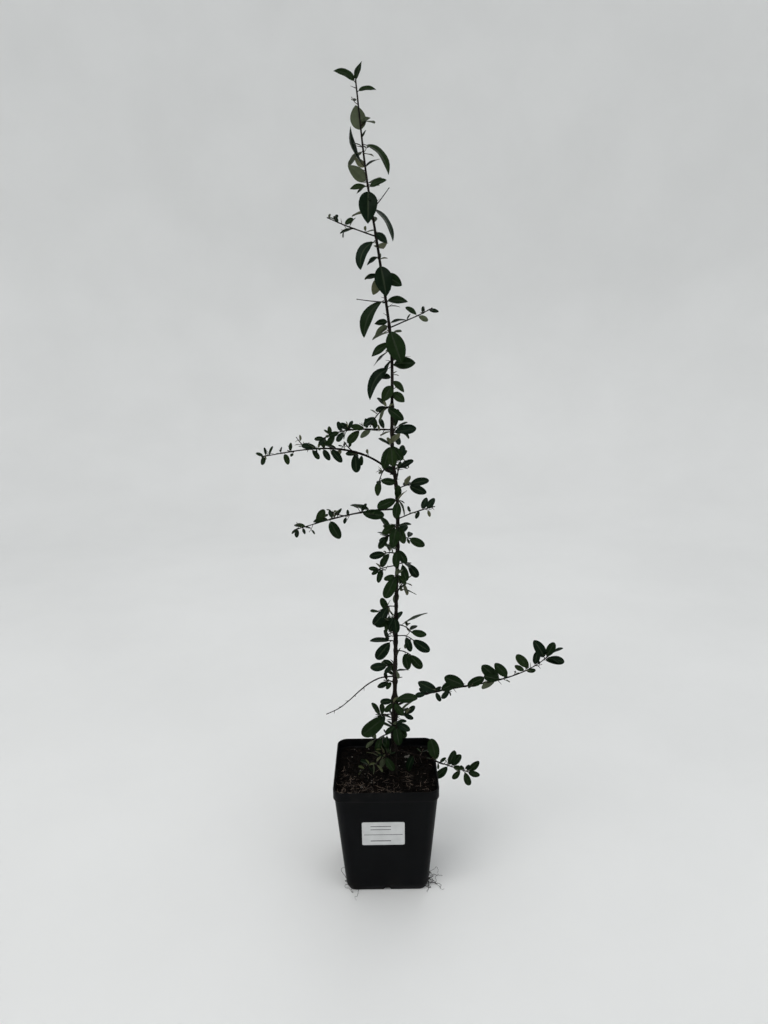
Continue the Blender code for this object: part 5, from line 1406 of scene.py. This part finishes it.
def sticker_point(x, y, lift):
    """Point on the pot's front wall from the sticker's middle, raised off the wall."""
    height = STICKER_CENTRE[1] + y
    low, high = pot_half(STICKER_CENTRE[1] - STICKER_PROBE), pot_half(STICKER_CENTRE[1] + STICKER_PROBE)
    outward = Vector((0.0, -1.0, (low - high) / STICKER_PROBE / 2)).normalized()
    return Vector((STICKER_CENTRE[0] + x, -pot_half(height), height)) + outward * lift


def make_sticker():
    """White sticker with one corner lifting, and plain ruled lines in place of its print."""
    width, tall = STICKER_SIZE
    columns, rows = STICKER_CELLS
    base, top = [], []
    for r in range(rows + 1):
        for c in range(columns + 1):
            x, y = (c / columns - 0.5) * width, (r / rows - 0.5) * tall
            x, y = rounded(x, y, width / 2, tall / 2, STICKER_CORNER)
            corner = max(0.0, 2 * x / width + 2 * y / tall - CURL_START)
            lift = STICKER_LIFT + STICKER_CURL * corner ** 2
            base.append(sticker_point(x, y, lift))
            top.append(sticker_point(x, y, lift + STICKER_THICKNESS))
    faces, border = grid_faces(columns + 1, rows + 1)
    count = len(top)
    sheet = faces + [tuple(count + corner for corner in reversed(face)) for face in faces]
    sheet += [(b, a, a + count, b + count) for a, b in zip(border, border[1:] + border[:1])]
    surface = Surface()
    surface.add(Solid(top + base, sheet))
    face = STICKER_LIFT + STICKER_THICKNESS
    for foot, left, right, thick in STICKER_LINES:
        low, left, right = (foot - 0.5) * tall, (left - 0.5) * width, (right - 0.5) * width
        corners = ((left, low), (right, low), (right, low + thick), (left, low + thick))
        rings = [[sticker_point(x, y, face + lift) for x, y in corners] for lift in PRINT_LIFTS]
        surface.add(loft(rings), 1)
    surface.piece("sticker", ["sticker_paper", "sticker_print"], "pot_plastic", sharp=30)


# Soil


def soil_height(x, y):
    """Height of the soil's surface."""
    relief = sum(size * noise.noise(Vector((x, y, SOIL_SLICE)) * scale) for size, scale in SOIL_WAVES)
    edge = max(abs(x), abs(y)) / SOIL_HALF
    return SOIL_TOP + relief - SOIL_EDGE_DROP * max(0.0, edge - SOIL_EDGE)


def make_soil():
    """The bed of soil, with a rough surface."""
    side = SOIL_CELLS + 1
    top = []
    for r in range(side):
        for c in range(side):
            x, y = ((2 * k / SOIL_CELLS - 1) * SOIL_HALF for k in (c, r))
            x, y = rounded(x, y, SOIL_HALF, SOIL_HALF, CORNER_RADIUS)
            top.append(Vector((x, y, soil_height(x, y))))
    faces, border = grid_faces(side, side)
    verts = list(top)
    loop = border
    for height in SOIL_RINGS:
        half = min(pot_half(height) - WALL - SOIL_CLEAR, SOIL_SHORE)
        lower = range(len(verts), len(verts) + len(border))
        verts += [Vector((top[k].x, top[k].y, 0.0)) * (half / SOIL_HALF) + UP * height for k in border]
        for i in range(len(border)):
            j = (i + 1) % len(border)
            faces.append((loop[j], loop[i], lower[i], lower[j]))
        loop = lower
    faces.append(tuple(reversed(loop)))
    surface = Surface()
    surface.add(Solid(verts, faces))
    surface.piece("soil_bed", ["soil_damp"], "soil", ["soil"])


def soil_spot(rng, margin):
    """A seeded place on the soil, clear of its edge."""
    reach = SOIL_HALF - margin
    x, y = rounded(rng.uniform(-reach, reach), rng.uniform(-reach, reach), reach, reach, CORNER_RADIUS)
    return Vector((x, y, soil_height(x, y)))


def ball(subdivisions):
    """Vertices and faces of a small round body."""
    edit = bmesh.new()
    bmesh.ops.create_icosphere(edit, subdivisions=subdivisions, radius=1.0)
    faces = [tuple(vert.index for vert in face.verts) for face in edit.faces]
    solid = Solid([vert.co.copy() for vert in edit.verts], faces)
    edit.free()
    return solid


def make_crumbs():
    """Lumps of peat and bark, and a few pale grains, strewn over the soil."""
    rng = random.Random(SOIL_SEED)
    surface = Surface()
    shape = ball(2)
    for index in range(CRUMBS):
        size = rng.uniform(*CRUMB_SIZE) * (LARGE_CRUMB if index % LARGE_EACH == 0 else 1.0)
        spot = soil_spot(rng, size * 2) + UP * size * CRUMB_RISE
        turn = Matrix.Rotation(rng.uniform(0, 2 * math.pi), 3, "Z")
        scale = Vector([rng.uniform(*spread) for spread in CRUMB_SPREAD]) * size
        shift = Vector((index * CRUMB_SHIFT, 0.0, 0.0))
        verts = []
        for vert in shape.verts:
            bumpy = vert * (1 + CRUMB_BUMPS[1] * noise.noise(vert * CRUMB_BUMPS[0] + shift))
            verts.append(spot + turn @ Vector([a * b for a, b in zip(bumpy, scale)]))
        surface.add(Solid(verts, shape.faces), 2 if index % PALE_EACH == 0 else index % 2)
    surface.piece("soil_crumbs", ["crumb_dark", "crumb_brown", "crumb_pale"], "soil")


def make_fibres():
    """Tan fibres that lie on the soil, most of them to the front and left."""
    rng = random.Random(SOIL_SEED + 1)
    surface = Surface()
    inside = SOIL_HALF - FIBRE_EDGE
    made = 0
    while made < FIBRES:
        spot = soil_spot(rng, FIBRE_MARGIN)
        front, left = (0.5 - spot.y / SOIL_HALF / 2), (0.5 - spot.x / SOIL_HALF / 2)
        few, middle, corner = FIBRE_CHANCE
        if rng.random() > few + front ** 4 * (middle + corner * left ** 2):
            continue
        length = rng.uniform(*FIBRE_LENGTH) * rng.uniform(*FIBRE_SPREAD)
        way = heading(rng.uniform(0, 360), rng.uniform(*FIBRE_SLOPE))
        points = []
        for point in curl_strand(rng, spot, way, length, FIBRE_CURL, len(FIBRE_SHAPE) - 1):
            x, y = (min(max(value, -inside), inside) for value in point[:2])
            height = max(soil_height(x, y) + FIBRE_LIFT, min(point.z, SOIL_TOP + FIBRE_REACH))
            points.append(Vector((x, y, height)))
        thick = rng.uniform(*FIBRE_RADIUS)
        surface.add(tube(points, [thick * share for share in FIBRE_SHAPE], STRAND_SIDES), made % 2)
        made += 1
    surface.piece("soil_fibres", ["fibre_tan", "fibre_brown"], "soil")


def make_wisps():
    """Fine roots that have found their way out under the pot, at two of its corners."""
    rng = random.Random(WISP_SEED)
    surface = Surface()
    for place, way, count, length in WISPS:
        for _ in range(count):
            start = Vector(place) + Vector([0.0, *(rng.uniform(*spread) for spread in WISP_START)])
            rising = Vector(way) + UP * rng.uniform(0.0, WISP_RISE)
            reach = rng.uniform(*WISP_SPREAD) * length
            points = curl_strand(rng, start, rising, reach, WISP_CURL, WISP_STEPS)
            points = [Vector((p.x, p.y, max(p.z, WISP_FLOOR))) for p in points]
            line = smooth_path(points, WISP_SMOOTH)
            thick = rng.uniform(*WISP_RADIUS)
            radii = [thick * (1 - WISP_TAPER * i / len(line)) for i in range(len(line))]
            surface.add(tube(line, radii, STRAND_SIDES))
    surface.piece("root_wisps", ["root"], "bark")


# Materials


def noise_value(tree, scale, detail, stretch=EVEN):
    """Output of a noise texture in the object's own space."""
    place = tree.nodes.new("ShaderNodeTexCoord")
    mapping = tree.nodes.new("ShaderNodeMapping")
    mapping.inputs["Scale"].default_value = stretch
    texture = tree.nodes.new("ShaderNodeTexNoise")
    texture.inputs["Scale"].default_value = scale
    texture.inputs["Detail"].default_value = detail
    tree.links.new(place.outputs["Object"], mapping.inputs["Vector"])
    tree.links.new(mapping.outputs["Vector"], texture.inputs["Vector"])
    return texture.outputs["Fac"]


def ramp(tree, value, low, high, low_to=0.0, high_to=1.0):
    """A value stretched from one range to another and held inside it."""
    node = tree.nodes.new("ShaderNodeMapRange")
    for name, number in (("From Min", low), ("From Max", high), ("To Min", low_to), ("To Max", high_to)):
        node.inputs[name].default_value = number
    tree.links.new(value, node.inputs["Value"])
    return node.outputs["Result"]


def patchy(tree, pattern, reach):
    """A noise stretched to a range, from the two rows of a pattern."""
    return ramp(tree, noise_value(tree, *pattern), *reach)


def mixed(tree, factor, first, second):
    """Colour between two, each a socket or three numbers."""
    node = tree.nodes.new("ShaderNodeMix")
    node.data_type = "RGBA"
    tree.links.new(factor, node.inputs["Factor"])
    for socket, colour in ((node.inputs[6], first), (node.inputs[7], second)):
        if isinstance(colour, tuple):
            socket.default_value = (*colour, 1.0)
        else:
            tree.links.new(colour, socket)
    return node.outputs[2]


def bumped(tree, shader, height, strength, distance):
    """Relief of a surface from a height."""
    node = tree.nodes.new("ShaderNodeBump")
    node.inputs["Strength"].default_value = strength
    node.inputs["Distance"].default_value = distance
    tree.links.new(height, node.inputs["Height"])
    tree.links.new(node.outputs["Normal"], shader.inputs["Normal"])


def surface_material(name, colour, other, scale, gloss, relief, fixed=(), stretch=EVEN):
    """A material whose colour wanders between two, with uneven gloss and a fine relief."""
    made = bpy.data.materials.new(name)
    made.use_nodes = True
    tree = made.node_tree
    shader = tree.nodes["Principled BSDF"]
    if isinstance(other, float):
        other = tuple(part * other for part in colour)
    patches = patchy(tree, (scale, PATCH_DETAIL, stretch), PATCH_RAMP)
    grain = noise_value(tree, relief[0], GRAIN_DETAIL, stretch)
    base = mixed(tree, patches, colour, other)
    tree.links.new(base, shader.inputs["Base Color"])
    tree.links.new(ramp(tree, grain, *GRAIN_RAMP, *gloss), shader.inputs["Roughness"])
    bumped(tree, shader, grain, relief[1], relief[2])
    for socket, number in fixed:
        shader.inputs[socket].default_value = number
    return made


def base_colour(made):
    """A material's node tree, its base colour's socket, and what feeds that."""
    socket = made.node_tree.nodes["Principled BSDF"].inputs["Base Color"]
    return made.node_tree, socket, socket.links[0].from_socket


def add_bloom(made):
    """A grey bloom and pale pores on the bark."""
    tree, socket, base = base_colour(made)
    base = mixed(tree, patchy(tree, *BLOOM), base, BLOOM_COLOUR)
    tree.links.new(mixed(tree, patchy(tree, *BARK_PORES), base, PORE_COLOUR), socket)


def add_dust(made):
    """Fine scuffs on the pot, and soil dust at its foot and rim."""
    tree, socket, base = base_colour(made)
    split = tree.nodes.new("ShaderNodeSeparateXYZ")
    place = tree.nodes.new("ShaderNodeTexCoord")
    tree.links.new(place.outputs["Object"], split.inputs["Vector"])
    base = mixed(tree, patchy(tree, *SCUFFS), base, SCUFF_COLOUR)
    blotches = patchy(tree, *BLOTCHES)
    for low, high in DUSTY_HEIGHTS:
        dust = tree.nodes.new("ShaderNodeMath")
        dust.operation = "MULTIPLY"
        tree.links.new(ramp(tree, split.outputs["Z"], low, high, 0.0, DUST_MOST), dust.inputs[0])
        tree.links.new(blotches, dust.inputs[1])
        base = mixed(tree, dust.outputs["Value"], base, DUST_COLOUR)
    tree.links.new(base, socket)


def make_materials():
    """Make every material and keep it by its name."""
    for name, row in LOOKS.items():
        materials[name] = surface_material(name, *row)
    add_bloom(materials["bark"])
    add_dust(materials["pot_plastic"])


# Stage, camera and lights


def make_stage():
    """Pale floor that curves up into a wall all round, open at the top."""
    profile = [(radius, 0.0) for radius in STAGE_RINGS]
    bend = STAGE_WALL - STAGE_FLOOR
    for k in range(1, STAGE_BENDS + 1):
        angle = math.pi / 2 * k / STAGE_BENDS
        profile.append((STAGE_FLOOR + bend * math.sin(angle), bend * (1 - math.cos(angle))))
    profile.append((STAGE_WALL, STAGE_TOP))
    verts = [Vector((0.0, 0.0, 0.0))]
    for radius, height in profile:
        verts += [heading(360 * k / STAGE_SIDES, 0) * radius + UP * height for k in range(STAGE_SIDES)]
    faces = [(0, 1 + k, 1 + (k + 1) % STAGE_SIDES) for k in range(STAGE_SIDES)]
    for ring in range(len(profile) - 1):
        for k in range(STAGE_SIDES):
            a, b = 1 + ring * STAGE_SIDES + k, 1 + ring * STAGE_SIDES + (k + 1) % STAGE_SIDES
            faces.append((a, a + STAGE_SIDES, b + STAGE_SIDES, b))
    item = plain_object("stage_floor", Solid(verts, faces))
    item.data.shade_smooth()
    item.data.materials.append(materials["stage_paper"])
    item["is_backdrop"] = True


def make_camera():
    """The photograph's camera."""
    data = bpy.data.cameras.new("camera")
    data.sensor_width = CAMERA_SENSOR
    data.lens = CAMERA_LENS
    data.clip_start, data.clip_end = CAMERA_CLIP
    item = bpy.data.objects.new("camera", data)
    pitch = Matrix.Rotation(math.radians(CAMERA_PITCH), 4, "X")
    roll = Matrix.Rotation(math.radians(CAMERA_ROLL), 4, "Z")
    item.matrix_world = Matrix.Translation(CAMERA_PLACE) @ pitch @ roll
    bpy.context.scene.collection.objects.link(item)
    bpy.context.scene.camera = item


def make_lights():
    """Large soft lights and a pale sky."""
    for name, place, aim, side, watts, colour in LIGHTS:
        data = bpy.data.lights.new(name, "AREA")
        data.size = side
        data.energy = watts
        data.color = colour
        item = bpy.data.objects.new(name, data)
        item.location = place
        item.rotation_mode = "QUATERNION"
        item.rotation_quaternion = (Vector(aim) - Vector(place)).to_track_quat("-Z", "Y")
        item.visible_camera = False
        bpy.context.scene.collection.objects.link(item)
    world = bpy.data.worlds.new("world")
    world.use_nodes = True
    sky = world.node_tree.nodes["Background"]
    sky.inputs["Color"].default_value = (*WORLD_COLOUR, 1.0)
    sky.inputs["Strength"].default_value = WORLD_STRENGTH
    bpy.context.scene.world = world
    bpy.context.scene.view_settings.view_transform = "Standard"


def build():
    """Make the whole scene."""
    make_materials()
    make_pot()
    make_sticker()
    make_soil()
    make_crumbs()
    make_fibres()
    make_wisps()
    masses, fine, spikes = grow()
    make_stem(SOIL_TOP / CM - STEM_SINK, TRUNK_TOP, "trunk_bark", ["trunk"], TRUNK_ROUGH)
    make_stem(TRUNK_TOP - LEADER_SINK, LEADER_TOP, "leader_stem", ["leader"], LEADER_ROUGH)
    make_limbs(masses, fine, spikes)
    make_leaves(masses)
    make_stage()
    make_camera()
    make_lights()


build()
boxes = {"cad": cad_box, "visual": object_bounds()}
{name: [list(corner) for corner in box] for name, box in boxes.items()}
